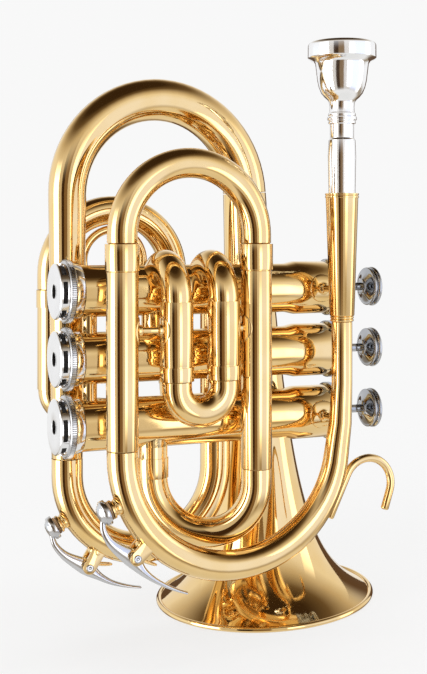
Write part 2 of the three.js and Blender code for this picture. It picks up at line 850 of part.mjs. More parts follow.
add_second_sleeve('second_slide_sleeve_left', second_slide_x);
add_second_sleeve('second_slide_sleeve_right', second_slide_x + second_slide_spacing);
const second_leg_end = new THREE.Vector3(second_slide_x, second_sleeve_end + touch_gap - second_leg_length, 0);
const second_reach = second_bow_y - second_sleeve_end - touch_gap;
add('second_slide_crook',
  crook(second_leg_end, Y, second_leg_length, second_reach, second_slide_spacing, DOWN, bow_radius,
    small_bow_steps),
  lacquered_brass);

// Third slide: two tubes behind the block that turn into the third valve, and a tall crook on top.
function add_third_tube(name, route) {
  const elbow_start = route.pieces[0].length;
  const outside = [[0, ferrule_radius], [third_ferrule_length, ferrule_radius],
    [third_ferrule_length, sleeve_radius], [elbow_start, sleeve_radius], [elbow_start, bow_radius],
    [route.length, bow_radius]];
  const bore_step = third_leg_length + slide_play;
  const inside = [[0, sleeve_bore_radius], [bore_step, sleeve_bore_radius], [bore_step, bow_bore_radius],
    [route.length, bow_bore_radius]];
  const tube = pipe(route, outside, inside, tube_sides);
  add(name, cut(tube, casing_space(third_valve_z, 0)), lacquered_brass);
}

const third_right_x = third_slide_x + third_slide_spacing;
const third_drop = third_ferrule_top - third_sleeve_foot;
const third_run_back = third_slide_y - third_elbow_radius;
const third_left_run = third_left_port_x - third_slide_x - third_elbow_radius * 2;
add_third_tube('third_slide_tube_left',
  new Route(new THREE.Vector3(third_slide_x, third_slide_y, third_ferrule_top), DOWN)
    .straight(third_drop)
    .bend(third_elbow_radius, Math.PI / 2, TOWARD, small_bow_steps)
    .straight(third_left_run)
    .bend(third_elbow_radius, Math.PI / 2, DOWN, small_bow_steps)
    .straight(third_run_back));
add_third_tube('third_slide_tube_right',
  new Route(new THREE.Vector3(third_right_x, third_slide_y, third_ferrule_top), DOWN)
    .straight(third_drop)
    .bend(third_elbow_radius, Math.PI / 2, LEFT, small_bow_steps)
    .straight(third_run_back));
const third_leg_end = new THREE.Vector3(
  third_slide_x, third_slide_y, third_ferrule_top + touch_gap - third_leg_length);
const third_reach = third_bow_z - third_ferrule_top - touch_gap;
add('third_slide_crook',
  crook(third_leg_end, Z, third_leg_length, third_reach, third_slide_spacing, Y, sleeve_radius,
    slide_bow_steps),
  lacquered_brass);

const ring_radius = finger_ring_inner_radius + finger_ring_wire_radius;
const ring_z = third_bow_z + third_slide_spacing / 2 - sleeve_radius - touch_gap
  - ring_radius - finger_ring_wire_radius;
const finger_ring = new THREE.TorusGeometry(ring_radius, finger_ring_wire_radius,
  small_sides, finger_ring_steps).rotateX(Math.PI / 2);
add('finger_ring', finger_ring, lacquered_brass)
  .position.set(third_slide_x + third_slide_spacing / 2, third_slide_y, ring_z);

// Inlet: from the right sleeve round to the underside of the third valve

const inlet_from = new THREE.Vector3(tuning_right_x, front_y, right_sleeve_foot - touch_gap);
const inlet_across = new THREE.Vector3(inlet_x - tuning_right_x, inlet_y - front_y, 0);
const inlet_route = new Route(inlet_from, DOWN)
  .straight(inlet_from.z - inlet_bow_z)
  .bend(inlet_across.length() / 2, Math.PI, DOWN.clone().cross(inlet_across.clone().normalize()),
    small_bow_steps);
add('inlet_bow', even_pipe(inlet_route, inlet_radius, tube_wall, tube_sides), lacquered_brass);

const port_foot = inlet_bow_z + touch_gap;
const port_route = new Route(new THREE.Vector3(inlet_x, inlet_y, port_foot), Z)
  .straight(third_valve_z - port_foot);
const port = pipe(port_route,
  [[0, inlet_ferrule_radius], [inlet_ferrule_height, inlet_ferrule_radius],
    [inlet_ferrule_height, inlet_radius], [port_route.length, inlet_radius]],
  [[0, inlet_radius - tube_wall], [port_route.length, inlet_radius - tube_wall]],
  tube_sides);
add('inlet_port', cut(port, casing_space(third_valve_z, 0)), lacquered_brass);

// Bell tail: out of the first valve's back, down and round the bottom bow

const bow_across = new THREE.Vector3(left_leg_x - tail_x, left_leg_y - tail_y, 0);
const bottom_bow_radius = bow_across.length() / 2;
const bow_out = bow_across.clone().normalize();
const tail_route = new Route(new THREE.Vector3(tail_x, 0, first_valve_z), Y)
  .straight(tail_y - tail_elbow_radius)
  .bend(tail_elbow_radius, Math.PI / 2, LEFT, small_bow_steps)
  .straight(first_valve_z - tail_elbow_radius - bottom_bow_z)
  .bend(bottom_bow_radius, Math.PI, DOWN.clone().cross(bow_out), wide_bow_steps)
  .straight(bell_bow_foot - touch_gap - bottom_bow_z);
const tail_tube = even_pipe(tail_route, tail_radius, tube_wall, tube_sides);
add('bell_tail', cut(tail_tube, casing_space(first_valve_z, 0)), lacquered_brass);
const tail_space = even_pipe(tail_route, tail_radius + touch_gap, 0, tube_sides);

// Bell bow: up the left side and over the top, growing all the way

const bell_across = Math.asin(bell_back_offset / (2 * bell_bow_bend_radius));
const toward_bell = new THREE.Vector3(Math.cos(bell_across), Math.sin(bell_across), 0);
const bell_bow_route = new Route(new THREE.Vector3(left_leg_x, left_leg_y, bell_bow_foot), Z)
  .straight(bell_bow_z - bell_bow_foot)
  .bend(bell_bow_bend_radius, Math.PI - bell_lean, Z.clone().cross(toward_bell), wide_bow_steps);
const flare_radius = (height) => bell_rim_radius
  * Math.pow(bell_flare_length / (height + bell_flare_length), bell_flare_power);
const bell_end_radius = flare_radius(bell_length);
const bow_sizes = (inset) => [
  [0, bell_bow_foot_radius - inset],
  [bell_bow_shoulder_z - bell_bow_foot, bell_bow_shoulder_radius - inset],
  [bell_bow_route.pieces[1].from + bell_bow_route.pieces[1].length / 2, bell_bow_top_radius - inset],
  [bell_bow_route.length, bell_end_radius - inset],
];
add('bell_bow', pipe(bell_bow_route, bow_sizes(0), bow_sizes(tube_wall), wide_tube_sides), lacquered_brass);

// Bell: an even wall along a flare, with a rolled bead that is flat underneath

const bead_reach = bell_rim_radius * (1 - bell_bead_width_share);
const bell_outside = [];
const bell_inside = [];
const flare_foot = bell_flare_length * Math.pow(bell_rim_radius / bead_reach, 1 / bell_flare_power);
const flare_growth = (bell_length + bell_flare_length) / flare_foot;
for (let i = 0; i <= bell_steps; i += 1) {
  const height = flare_foot * Math.pow(flare_growth, i / bell_steps) - bell_flare_length;
  const radius = flare_radius(height);
  const slope = i < bell_steps ? -bell_flare_power * radius / (height + bell_flare_length) : 0;
  const reach = Math.hypot(1, slope);
  const rise = bell_rise * (1 - i / bell_steps);
  bell_outside.push([radius, height + rise]);
  bell_inside.unshift([radius - bell_wall / reach, height + rise + bell_wall * slope / reach]);
}

function bell_geometry() {
  const corner = bell_bead * bell_bead_corner_share;
  const bead = [[bead_reach, 0], [bell_rim_radius - corner, 0], [bell_rim_radius, corner],
    [bell_rim_radius, bell_bead - corner], [bell_rim_radius - corner, bell_bead],
    [bead_reach + corner, bell_bead]];
  return turned_shell([...bead, ...bell_outside], bell_inside, bell_sides);
}

const bell_up = bell_bow_route.end.heading.clone().negate();
const bell_reach = bell_length + touch_gap;
const rim_centre = bell_bow_route.end.point.clone().addScaledVector(bell_up, -bell_reach);
const bell = add('bell', bell_geometry(), lacquered_brass);
bell.position.copy(rim_centre);
bell.quaternion.setFromUnitVectors(Z, bell_up);

// Finger hook on the outside of the leadpipe bow

function add_finger_hook() {
  const reach = lead_bow_bend_radius + leadpipe_bow_start_radius + hook_rod_radius;
  const foot = new THREE.Vector3(
    lead_bow_x + reach * Math.cos(hook_foot_angle), front_y, lead_bow_z - reach * Math.sin(hook_foot_angle));
  const rise = new THREE.Vector3(Math.cos(hook_rise_angle), 0, Math.sin(hook_rise_angle));
  const route = new Route(foot, rise)
    .straight(hook_stem_length)
    .bend(hook_bend_radius, hook_bend_angle, Y, slide_bow_steps)
    .straight(hook_tip_length);
  add('finger_hook', cut(even_pipe(route, hook_rod_radius, 0, small_sides), leadpipe_space), lacquered_brass);
}

add_finger_hook();

// Water keys

// A key on the outside of a bow. Angles grow from straight out to straight down, and heights are
// counted from the outside of the bow.
function add_water_key(name, bow, key) {
  const { centre, out, bow_outside, bow_space } = bow;
  const { cup_angle, pivot_angle, tip_angle, pivot_height, lever_shares } = key;
  const across = out.clone().cross(DOWN).normalize();
  const away = (angle) => out.clone().multiplyScalar(Math.cos(angle)).addScaledVector(DOWN, Math.sin(angle));
  const spot = (angle, height) => centre.clone().addScaledVector(away(angle), bow_outside + height);
  const flat = (angle, height) => new THREE.Vector2(Math.cos(angle), Math.sin(angle))
    .multiplyScalar(bow_outside + height);
  const basis = new THREE.Matrix4().makeBasis(out, DOWN, across).setPosition(centre);
  const slab = (shape, width) => {
    const options = { depth: width, bevelEnabled: false, curveSegments: key_lug_steps };
    return new THREE.ExtrudeGeometry(shape, options).translate(0, 0, -width / 2).applyMatrix4(basis);
  };

  const nipple = turned_shell(
    [[key_nipple_radius, -key_nipple_root], [key_nipple_radius, key_nipple_height - key_nipple_rim_height],
      [key_nipple_rim_radius, key_nipple_height]],
    [[key_nipple_hole_radius, key_nipple_height], [key_nipple_hole_radius, -key_nipple_root]],
    small_sides,
  );
  add(`${name}_nipple`, cut(placed(nipple, spot(cup_angle, 0), away(cup_angle)), bow_space), lacquered_brass);

  const cork_foot = key_nipple_height + touch_gap;
  const cork_disk = rod(spot(cup_angle, cork_foot), spot(cup_angle, cork_foot + key_cork_height),
    key_cork_radius, small_sides);
  add(`${name}_cork`, cork_disk, cork);

  const cup_foot = cork_foot + key_cork_height + touch_gap - key_cup_depth;
  const cup_inner = key_cork_radius + touch_gap;
  const cup = turned(
    [[key_cup_radius, 0], [key_cup_radius, key_cup_height - key_cup_bevel],
      [key_cup_radius - key_cup_bevel, key_cup_height], [0, key_cup_height], [0, key_cup_depth],
      [cup_inner, key_cup_depth], [cup_inner, 0], [key_cup_radius, 0]],
    tube_sides,
  );
  const lever_line = new THREE.CatmullRomCurve3(lever_shares.map((shares) => new THREE.Vector3(...shares)));
  const stations = lever_line.getPoints(key_lever_steps);
  const edge = (station, side) => flat(
    cup_angle + (tip_angle - cup_angle) * station.x,
    key_lever_height * station.y + side * key_lever_thickness * station.z / 2);
  const arm = new THREE.Shape([
    ...stations.map((station) => edge(station, 1)),
    ...stations.reverse().map((station) => edge(station, -1)),
  ]);
  const pivot = spot(pivot_angle, pivot_height);
  const pin = (reach, radius) => rod(pivot.clone().addScaledVector(across, -reach),
    pivot.clone().addScaledVector(across, reach), radius, small_sides);
  const hub = pin(key_hub_width / 2, key_hub_radius);
  const lever = join(slab(arm, key_lever_width), hub, placed(cup, spot(cup_angle, cup_foot), away(cup_angle)));
  const saddle_half_width = key_hub_width / 2 + pin_play + key_lug_thickness;
  const hole = pin(saddle_half_width * 2, key_screw_radius + pin_play);
  add(`${name}_lever`, cut(lever, hole), silver_plate);

  const around = flat(pivot_angle + Math.PI / 2, 0).normalize();
  const beside_pivot = (shift, height) => flat(pivot_angle, height).addScaledVector(around, shift);
  const eye = beside_pivot(0, pivot_height);
  const lug = new THREE.Shape([
    beside_pivot(-key_lug_radius, -key_saddle_root), beside_pivot(-key_lug_radius, pivot_height)]);
  const quarter = Math.PI / 2;
  lug.absarc(eye.x, eye.y, key_lug_radius, pivot_angle - quarter, pivot_angle + quarter, false);
  const root = beside_pivot(key_lug_radius, -key_saddle_root);
  lug.lineTo(root.x, root.y);
  const far = key_lug_radius * 2;
  const slot = new THREE.Shape([
    beside_pivot(-far, key_saddle_floor), beside_pivot(-far, pivot_height + far),
    beside_pivot(far, pivot_height + far), beside_pivot(far, key_saddle_floor)]);
  const saddle = cut(slab(lug, saddle_half_width * 2), slab(slot, key_hub_width + pin_play * 2), hole, bow_space);
  add(`${name}_saddle`, saddle, lacquered_brass);
  add(`${name}_screw`, pin(saddle_half_width, key_screw_radius), nickel_plate);
}

add_water_key('lead_key', {
  centre: new THREE.Vector3(lead_bow_x, front_y, lead_bow_z),
  out: LEFT,
  bow_outside: lead_bow_bend_radius + leadpipe_bow_radius,
  bow_space: leadpipe_space,
}, {
  cup_angle: lead_key_cup_angle,
  pivot_angle: lead_key_pivot_angle,
  tip_angle: lead_key_tip_angle,
  pivot_height: lead_key_pivot_height,
  lever_shares: lead_lever_shares,
});

add_water_key('tail_key', {
  centre: new THREE.Vector3((tail_x + left_leg_x) / 2, (tail_y + left_leg_y) / 2, bottom_bow_z),
  out: bow_out,
  bow_outside: bottom_bow_radius + tail_radius,
  bow_space: tail_space,
}, {
  cup_angle: tail_key_cup_angle,
  pivot_angle: tail_key_pivot_angle,
  tip_angle: tail_key_tip_angle,
  pivot_height: tail_key_pivot_height,
  lever_shares: tail_lever_shares,
});

// Braces

// A rod between two tubes. Each end has the place and radius of its tube, and a function that gives
// the space of the tube grown by a thickness. The flanges are cut from a thin shell round that space.
function add_brace(name, from, to) {
  const along = to.point.clone().sub(from.point).normalize();
  const length = to.point.distanceTo(from.point);
  const reach = (end) => end.radius + touch_gap + brace_flange_thickness;
  const flange = (end, direction) => {
    const radius = Math.min(brace_flange_radius, end.radius * brace_flange_reach_share);
    const tip = end.point.clone().addScaledVector(direction, reach(end));
    return shared(rod(end.point, tip, radius, tube_sides), end.space(brace_flange_thickness));
  };
  const rod_start = reach(from) + brace_collar_height;
  const rod_end = length - reach(to) - brace_collar_height;
  const bar = rod_end > rod_start
    ? turned([[0, 0], [brace_collar_radius, 0], [brace_collar_radius, reach(from)],
      [brace_rod_radius, rod_start], [brace_rod_radius, rod_end],
      [brace_collar_radius, length - reach(to)], [brace_collar_radius, length], [0, length]], small_sides)
    : turned([[0, 0], [brace_rod_radius, 0], [brace_rod_radius, length], [0, length]], small_sides);
  const whole = join(placed(bar, from.point, along), flange(from, along), flange(to, along.clone().negate()));
  add(name, cut(whole, from.space(0), to.space(0)), lacquered_brass);
}

const upright_end = (x, z, radius) => {
  const point = new THREE.Vector3(x, front_y, z);
  const foot = point.clone().addScaledVector(DOWN, brace_flange_radius * 2);
  const run = new Route(foot, Z).straight(brace_flange_radius * 4);
  return { point, radius, space: (growth) => even_pipe(run, radius + touch_gap + growth, 0, tube_sides) };
};
const casing_end = (x, z, radius) => (
  { point: new THREE.Vector3(x, 0, z), radius, space: (growth) => casing_space(z, growth) });

add_brace('brace_tuning_to_first',
  upright_end(tuning_left_x, front_brace_z, sleeve_radius),
  upright_end(first_slide_x, front_brace_z, sleeve_radius));
add_brace('brace_first_to_tuning',
  upright_end(first_right_x, front_brace_z, sleeve_radius),
  upright_end(tuning_right_x, front_brace_z, sleeve_radius));

const receiver_cone_height = receiver_top - receiver_ring_height - receiver_foot;
const receiver_brace_share = (receiver_brace_z - receiver_foot) / receiver_cone_height;
const receiver_cone = (growth) => turned(
  [[0, 0], [receiver_foot_radius + growth, 0], [receiver_mouth_radius + growth, receiver_cone_height],
    [0, receiver_cone_height]],
  tube_sides,
).translate(lead_x, front_y, receiver_foot);
add_brace('brace_casing_to_receiver', casing_end(lead_x, receiver_brace_z, casing_upper_radius), {
  point: new THREE.Vector3(lead_x, front_y, receiver_brace_z),
  radius: THREE.MathUtils.lerp(receiver_foot_radius, receiver_mouth_radius, receiver_brace_share),
  space: (growth) => receiver_cone(touch_gap + growth),
});

add_brace('brace_casing_to_leadpipe', casing_end(lead_x, third_valve_z, casing_upper_radius), {
  point: new THREE.Vector3(lead_x, front_y, third_valve_z),
  radius: leadpipe_radius,
  space: (growth) => pipe(lead_route, lead_sizes(-touch_gap - growth), null, tube_sides),
});

const bell_brace_height = (first_valve_z - rim_centre.z) / bell_up.z;
const bell_at_brace = rim_centre.clone().addScaledVector(bell_up, bell_brace_height);
const bell_space = (growth) => {
  const outline = bell_outside.map(([radius, height]) => [radius + growth, height]);
  return placed(turned([[0, outline[0][1]], ...outline, [0, bell_length]], bell_sides), rim_centre, bell_up);
};
add_brace('brace_casing_to_bell', casing_end(bell_at_brace.x, first_valve_z, casing_lower_radius), {
  point: bell_at_brace,
  radius: flare_radius(bell_brace_height),
  space: (growth) => bell_space(touch_gap + growth),
});

// The whole: turned so that the rim lies flat, with 0 under the middle of its box

block.quaternion.setFromUnitVectors(bell_up, Z);
const trumpet = new THREE.Group();
trumpet.add(block);
const box = new THREE.Box3().setFromObject(trumpet, true);
const middle = box.getCenter(new THREE.Vector3());
trumpet.position.set(-middle.x, -middle.y, -box.min.z);
trumpet.updateMatrixWorld(true);

export default trumpet;
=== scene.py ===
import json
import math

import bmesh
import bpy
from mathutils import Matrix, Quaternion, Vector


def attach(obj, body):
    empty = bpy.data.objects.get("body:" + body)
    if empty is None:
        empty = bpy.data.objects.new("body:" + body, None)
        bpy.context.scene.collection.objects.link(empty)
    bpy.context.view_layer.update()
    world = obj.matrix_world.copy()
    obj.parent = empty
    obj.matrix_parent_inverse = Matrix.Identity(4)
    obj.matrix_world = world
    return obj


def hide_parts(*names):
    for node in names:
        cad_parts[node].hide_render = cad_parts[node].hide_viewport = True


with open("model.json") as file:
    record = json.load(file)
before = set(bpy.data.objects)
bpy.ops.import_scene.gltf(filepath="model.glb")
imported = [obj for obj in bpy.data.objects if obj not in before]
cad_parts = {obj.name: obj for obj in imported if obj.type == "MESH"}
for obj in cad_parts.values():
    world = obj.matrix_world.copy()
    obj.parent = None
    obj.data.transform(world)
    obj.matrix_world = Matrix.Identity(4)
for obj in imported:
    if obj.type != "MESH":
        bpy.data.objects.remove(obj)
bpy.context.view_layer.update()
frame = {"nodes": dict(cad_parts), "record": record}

# %% [markdown]
# # A pocket trumpet in lacquered brass
# The mechanical model is loaded as a fixed frame: it says where every tube, valve and lever is.
# In these cells each piece is drawn again with a smooth, polished surface in the same place, as
# an instrument maker would polish a rough assembly. Lengths are in millimetres and become metres
# when a piece is finished; the studio round the instrument is set out in metres.

MM = 0.001
X, Y, Z = Vector((1, 0, 0)), Vector((0, 1, 0)), Vector((0, 0, 1))

# %% [markdown]
# ## The valve block's own frame
# A trumpet is laid out square to its valves: x along the valves, z up the tubes. The bell leans
# about three degrees against that block, and the instrument stands on the bell, so the block is
# turned until the bell's rim lies flat. Pieces could be turned one by one as they are drawn, but
# round numbers are easier to follow, so every piece is drawn in the block's frame and turned last.

# %% Block frame
BELL_UP = Vector((-0.0556867, -0.003878, 0.9984408)).normalized()
BLOCK_TURN = BELL_UP.rotation_difference(Z).to_matrix()
BLOCK_ORIGIN = Vector((-59.85245, -16.84361, 113.87817)) * MM
BLOCK = Matrix.Translation(BLOCK_ORIGIN) @ BLOCK_TURN.to_4x4() @ Matrix.Scale(MM, 4)
PITCH = 25.9  # from one valve's axis to the next
FRONT_Y = -26.4  # the plane of the leadpipe and the tuning slide, in front of the valves
print("block origin", BLOCK @ Vector((0, 0, 0)))

# %% [markdown]
# ## The camera
# The photograph is a level product shot with a long lens, so the upright tubes stay parallel. The
# lens is measured in pixels of a picture 427 wide. The view is shifted down rather than tilted,
# and rolled with the block, so that the tubes stand upright in the picture.

# %% Camera
IMAGE_WIDTH, IMAGE_HEIGHT = 427, 674
FOCAL_PIXELS = 1163.9
HORIZON_ROW = 238.8
SENSOR_WIDTH = 36
CAMERA_TURN = math.radians(-22.454)
CAMERA_PLACE = Vector((-123.36, -434.06, 46.12))
camera_data = bpy.data.cameras.new("product_camera")
camera_data.sensor_fit = "HORIZONTAL"
camera_data.sensor_width = SENSOR_WIDTH
camera_data.lens = SENSOR_WIDTH * FOCAL_PIXELS / IMAGE_WIDTH
camera_data.shift_y = (HORIZON_ROW - IMAGE_HEIGHT / 2) / IMAGE_WIDTH
camera_data.clip_start = 0.01
camera = bpy.data.objects.new("product_camera", camera_data)
bpy.context.scene.collection.objects.link(camera)
sight = BLOCK_TURN @ Vector((-math.sin(CAMERA_TURN), math.cos(CAMERA_TURN), 0))
camera_right = BLOCK_TURN @ Vector((math.cos(CAMERA_TURN), math.sin(CAMERA_TURN), 0))
camera_up = BLOCK_TURN @ Z
camera.matrix_world = Matrix((camera_right, camera_up, -sight)).transposed().to_4x4()
camera.matrix_world.translation = BLOCK @ CAMERA_PLACE
bpy.context.scene.camera = camera
print("lens", round(camera_data.lens, 1), "mm, shift", round(camera_data.shift_y, 3))

# %% [markdown]
# ## Finishes
# Polished brass hides nothing, so its detail is in the reflections. Two effects are shared by all
# the metals and are built once as node groups: a soft cloudiness where hands have been, and fine
# polishing marks. The lacquer is a clear coat over the brass.

# %% Shared effects
def new_group(name, inputs, outputs):
    group = bpy.data.node_groups.new(name, "ShaderNodeTree")
    for label, kind, value in inputs:
        socket = group.interface.new_socket(label, in_out="INPUT", socket_type=kind)
        socket.default_value = value
    for label, kind in outputs:
        group.interface.new_socket(label, in_out="OUTPUT", socket_type=kind)
    return group, group.nodes.new("NodeGroupInput"), group.nodes.new("NodeGroupOutput")


def noise(nodes, links, place, scale, detail):
    node = nodes.new("ShaderNodeTexNoise")
    node.inputs["Scale"].default_value = scale
    node.inputs["Detail"].default_value = detail
    links.new(place, node.inputs["Vector"])
    return node


def make_handling_group():
    group, inp, out = new_group(
        "handling_marks",
        [("Smooth", "NodeSocketFloat", 0.12), ("Hazy", "NodeSocketFloat", 0.22),
         ("Size", "NodeSocketFloat", 60)],
        [("Roughness", "NodeSocketFloat"), ("Mask", "NodeSocketFloat")],
    )
    place = group.nodes.new("ShaderNodeTexCoord")
    cloud = noise(group.nodes, group.links, place.outputs["Object"], 60, 3)
    group.links.new(inp.outputs["Size"], cloud.inputs["Scale"])
    spread = group.nodes.new("ShaderNodeMapRange")
    spread.inputs["From Min"].default_value = 0.42
    spread.inputs["From Max"].default_value = 0.72
    group.links.new(cloud.outputs["Fac"], spread.inputs["Value"])
    rough = group.nodes.new("ShaderNodeMapRange")
    group.links.new(spread.outputs["Result"], rough.inputs["Value"])
    group.links.new(inp.outputs["Smooth"], rough.inputs["To Min"])
    group.links.new(inp.outputs["Hazy"], rough.inputs["To Max"])
    group.links.new(rough.outputs["Result"], out.inputs["Roughness"])
    group.links.new(spread.outputs["Result"], out.inputs["Mask"])
    return group


def make_polish_group():
    group, inp, out = new_group(
        "polishing_marks",
        [("Strength", "NodeSocketFloat", 0.02), ("Size", "NodeSocketFloat", 900)],
        [("Normal", "NodeSocketVector")],
    )
    place = group.nodes.new("ShaderNodeTexCoord")
    fine = noise(group.nodes, group.links, place.outputs["Object"], 900, 2)
    group.links.new(inp.outputs["Size"], fine.inputs["Scale"])
    bump = group.nodes.new("ShaderNodeBump")
    bump.inputs["Distance"].default_value = 0.00005
    group.links.new(inp.outputs["Strength"], bump.inputs["Strength"])
    group.links.new(fine.outputs["Fac"], bump.inputs["Height"])
    group.links.new(bump.outputs["Normal"], out.inputs["Normal"])
    return group


handling_marks = make_handling_group()
polishing_marks = make_polish_group()
print("shared effects", [group.name for group in (handling_marks, polishing_marks)])

# %% Metal finishes
POLISH_STRENGTH, COAT_ROUGHNESS = 0.02, 0.04
METAL_CLOUDS, RECESS_CLOUDS = 60, 700


def new_material(name):
    material = bpy.data.materials.new(name)
    material.use_nodes = True
    nodes, links = material.node_tree.nodes, material.node_tree.links
    return material, nodes, links, nodes["Principled BSDF"]


def add_effect(nodes, group, **values):
    node = nodes.new("ShaderNodeGroup")
    node.node_tree = group
    for label, value in values.items():
        node.inputs[label].default_value = value
    return node


def clouded(name, pale, deep, smooth, hazy, size):
    material, nodes, links, shader = new_material(name)
    handling = add_effect(nodes, handling_marks, Smooth=smooth, Hazy=hazy, Size=size)
    colour = nodes.new("ShaderNodeMix")
    colour.data_type = "RGBA"
    colour.inputs["A"].default_value = (*pale, 1)
    colour.inputs["B"].default_value = (*deep, 1)
    links.new(handling.outputs["Mask"], colour.inputs["Factor"])
    links.new(colour.outputs["Result"], shader.inputs["Base Color"])
    links.new(handling.outputs["Roughness"], shader.inputs["Roughness"])
    return material, nodes, links, shader


def metal(name, pale, deep, smooth, hazy, coat=0.0):
    material, nodes, links, shader = clouded(name, pale, deep, smooth, hazy, METAL_CLOUDS)
    shader.inputs["Metallic"].default_value = 1
    shader.inputs["Coat Weight"].default_value = coat
    shader.inputs["Coat Roughness"].default_value = COAT_ROUGHNESS
    polish = add_effect(nodes, polishing_marks, Strength=POLISH_STRENGTH)
    links.new(polish.outputs["Normal"], shader.inputs["Normal"])
    return material


gold = metal("gold_lacquer", (0.89, 0.64, 0.30), (0.85, 0.58, 0.23), 0.05, 0.10, coat=0.3)
silver = metal("silver_plate", (0.97, 0.97, 0.98), (0.91, 0.91, 0.92), 0.09, 0.15)
faced = metal("faced_silver", (0.90, 0.90, 0.91), (0.84, 0.84, 0.85), 0.09, 0.17)
# A darker copy of the silver paints grey shade on the knurled rims of the bottom caps and on the water-key
# levers.
painted_shade_silver = metal("forged_silver", (0.64, 0.64, 0.65), (0.50, 0.50, 0.51), 0.14, 0.26)
nickel = metal("nickel_plate", (0.47, 0.48, 0.50), (0.36, 0.37, 0.39), 0.05, 0.11)
steel = metal("spring_wire", (0.45, 0.45, 0.46), (0.30, 0.29, 0.28), 0.25, 0.40)
print("metals", [m.name for m in (gold, silver, faced, painted_shade_silver, nickel, steel)])

# %% Cork and painted shade
def make_cork():
    material, nodes, links, shader = new_material("cork")
    shader.inputs["Roughness"].default_value = 0.85
    place = nodes.new("ShaderNodeTexCoord")
    grain = noise(nodes, links, place.outputs["Object"], 1800, 4)
    colour = nodes.new("ShaderNodeValToRGB")
    colour.color_ramp.elements[0].color = (0.20, 0.11, 0.05, 1)
    colour.color_ramp.elements[1].color = (0.62, 0.42, 0.24, 1)
    links.new(grain.outputs["Fac"], colour.inputs["Fac"])
    links.new(colour.outputs["Color"], shader.inputs["Base Color"])
    return material


# Near-black paint for rings inside the bottom caps: painted shade where the inside of each cap is dark.
def make_painted_shade():
    material, _, _, shader = clouded("blackened_recess", (0.012, 0.011, 0.011), (0.045, 0.042, 0.040),
                                     0.5, 0.8, RECESS_CLOUDS)
    shader.inputs["Specular IOR Level"].default_value = 0.2
    return material


cork = make_cork()
cap_painted_shade = make_painted_shade()
FINISH_SLOTS = {"gold_lacquer": gold, "silver_plate": silver, "nickel": nickel,
                "spring_steel": steel, "cork": cork}
print("finishes", sorted(FINISH_SLOTS))

# %% [markdown]
# ## Putting a finished piece on the instrument
# Each piece is one mesh. Its faces are turned outwards, its sharp corners get a small polished
# radius, it is turned from the block's frame into the world's, and it rides on the body that
# carries it. A real polished corner always shows a thin line of light, which is why it is rounded.

# %% Finishing a piece
MERGE_DISTANCE, CORNER = 1e-4, 0.12
SHARP_EDGE, SHADING_EDGE = math.radians(35), math.radians(50)


def soften(bm, width):
    sharp = [e for e in bm.edges if len(e.link_faces) == 2 and e.calc_face_angle(0) > SHARP_EDGE]
    if sharp and width:
        bmesh.ops.bevel(bm, geom=sharp, offset=width, offset_type="OFFSET", segments=2,
                        profile=0.5, affect="EDGES", clamp_overlap=True, material=-1)


def finish_piece(bm, name, body, slot, nodes=(), corner=CORNER, finish=None):
    bmesh.ops.remove_doubles(bm, verts=bm.verts, dist=MERGE_DISTANCE)
    bmesh.ops.recalc_face_normals(bm, faces=bm.faces)
    soften(bm, corner)
    bm.transform(BLOCK)
    mesh = bpy.data.meshes.new(name)
    bm.to_mesh(mesh)
    bm.free()
    mesh.polygons.foreach_set("use_smooth", [True] * len(mesh.polygons))
    mesh.set_sharp_from_angle(angle=SHADING_EDGE)
    mesh.materials.append(finish or FINISH_SLOTS[slot])
    piece = bpy.data.objects.new(name, mesh)
    bpy.context.scene.collection.objects.link(piece)
    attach(piece, body)
    if nodes:
        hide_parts(*nodes)
    print(name, len(mesh.polygons), "faces")


# %% [markdown]
# ## Bending tube
# A maker fills a tube, bends it round a former and draws it to size. A bevelled curve would bend
# as well, but it can't show a bore or change its radius in steps. So a ring of vertices is extruded
# along a centre line of straight runs and bends, and scaled where the tube grows. An open end
# turns inward and shows its bore.

# %% A centre line of straight runs and bends
BEND_STEP = math.radians(5)
RING_GAP = 0.2


class Route:
    def __init__(self, start, heading):
        side = heading.cross(X if abs(heading.y) > abs(heading.x) else Y).normalized()
        self.pieces, self.length = [], 0.0
        self.end = (Vector(start), heading.copy(), side)

    def straight(self, length):
        self.pieces.append(dict(start=self.length, length=length, frame=self.end, axis=None))
        self.length += length
        self.end = self.frame(self.length)
        return self

    def bend(self, radius, angle, axis):
        point, heading, _ = self.end
        centre = point + axis.cross(heading) * radius
        self.pieces.append(dict(start=self.length, length=radius * angle, frame=self.end, axis=axis,
                                radius=radius, centre=centre))
        self.length += radius * angle
        self.end = self.frame(self.length)
        return self

    def frame(self, s):
        piece = [p for p in self.pieces if s >= p["start"] - 1e-9][-1]
        run = s - piece["start"]
        point, heading, side = piece["frame"]
        if piece["axis"] is None:
            return point + heading * run, heading, side
        turn = Quaternion(piece["axis"], run / piece["radius"])
        return (turn @ (point - piece["centre"]) + piece["centre"], turn @ heading, turn @ side)

    def matrix(self, s):
        point, heading, side = self.frame(s)
        place = Matrix((side, heading.cross(side), heading)).transposed().to_4x4()
        place.translation = point
        return place

    def rings(self, sizes):
        stops = []
        for p in self.pieces:
            count = 1 if p["axis"] is None else max(1, round(p["length"] / p["radius"] / BEND_STEP))
            stops += [p["start"] + p["length"] * i / count for i in range(count + 1)]
        rings = [(self.matrix(sizes[0][0]), sizes[0][1])]
        for (s0, r0), (s1, r1) in zip(sizes, sizes[1:]):
            last = s0
            for s in stops:
                if last + RING_GAP < s < s1 - RING_GAP:
                    rings.append((self.matrix(s), r0 + (r1 - r0) * (s - s0) / (s1 - s0)))
                    last = s
            rings.append((self.matrix(s1), r1))
        return rings

    def bore(self, s, radius, depth):
        return [(self.matrix(s), radius), (self.matrix(s + depth), radius)]


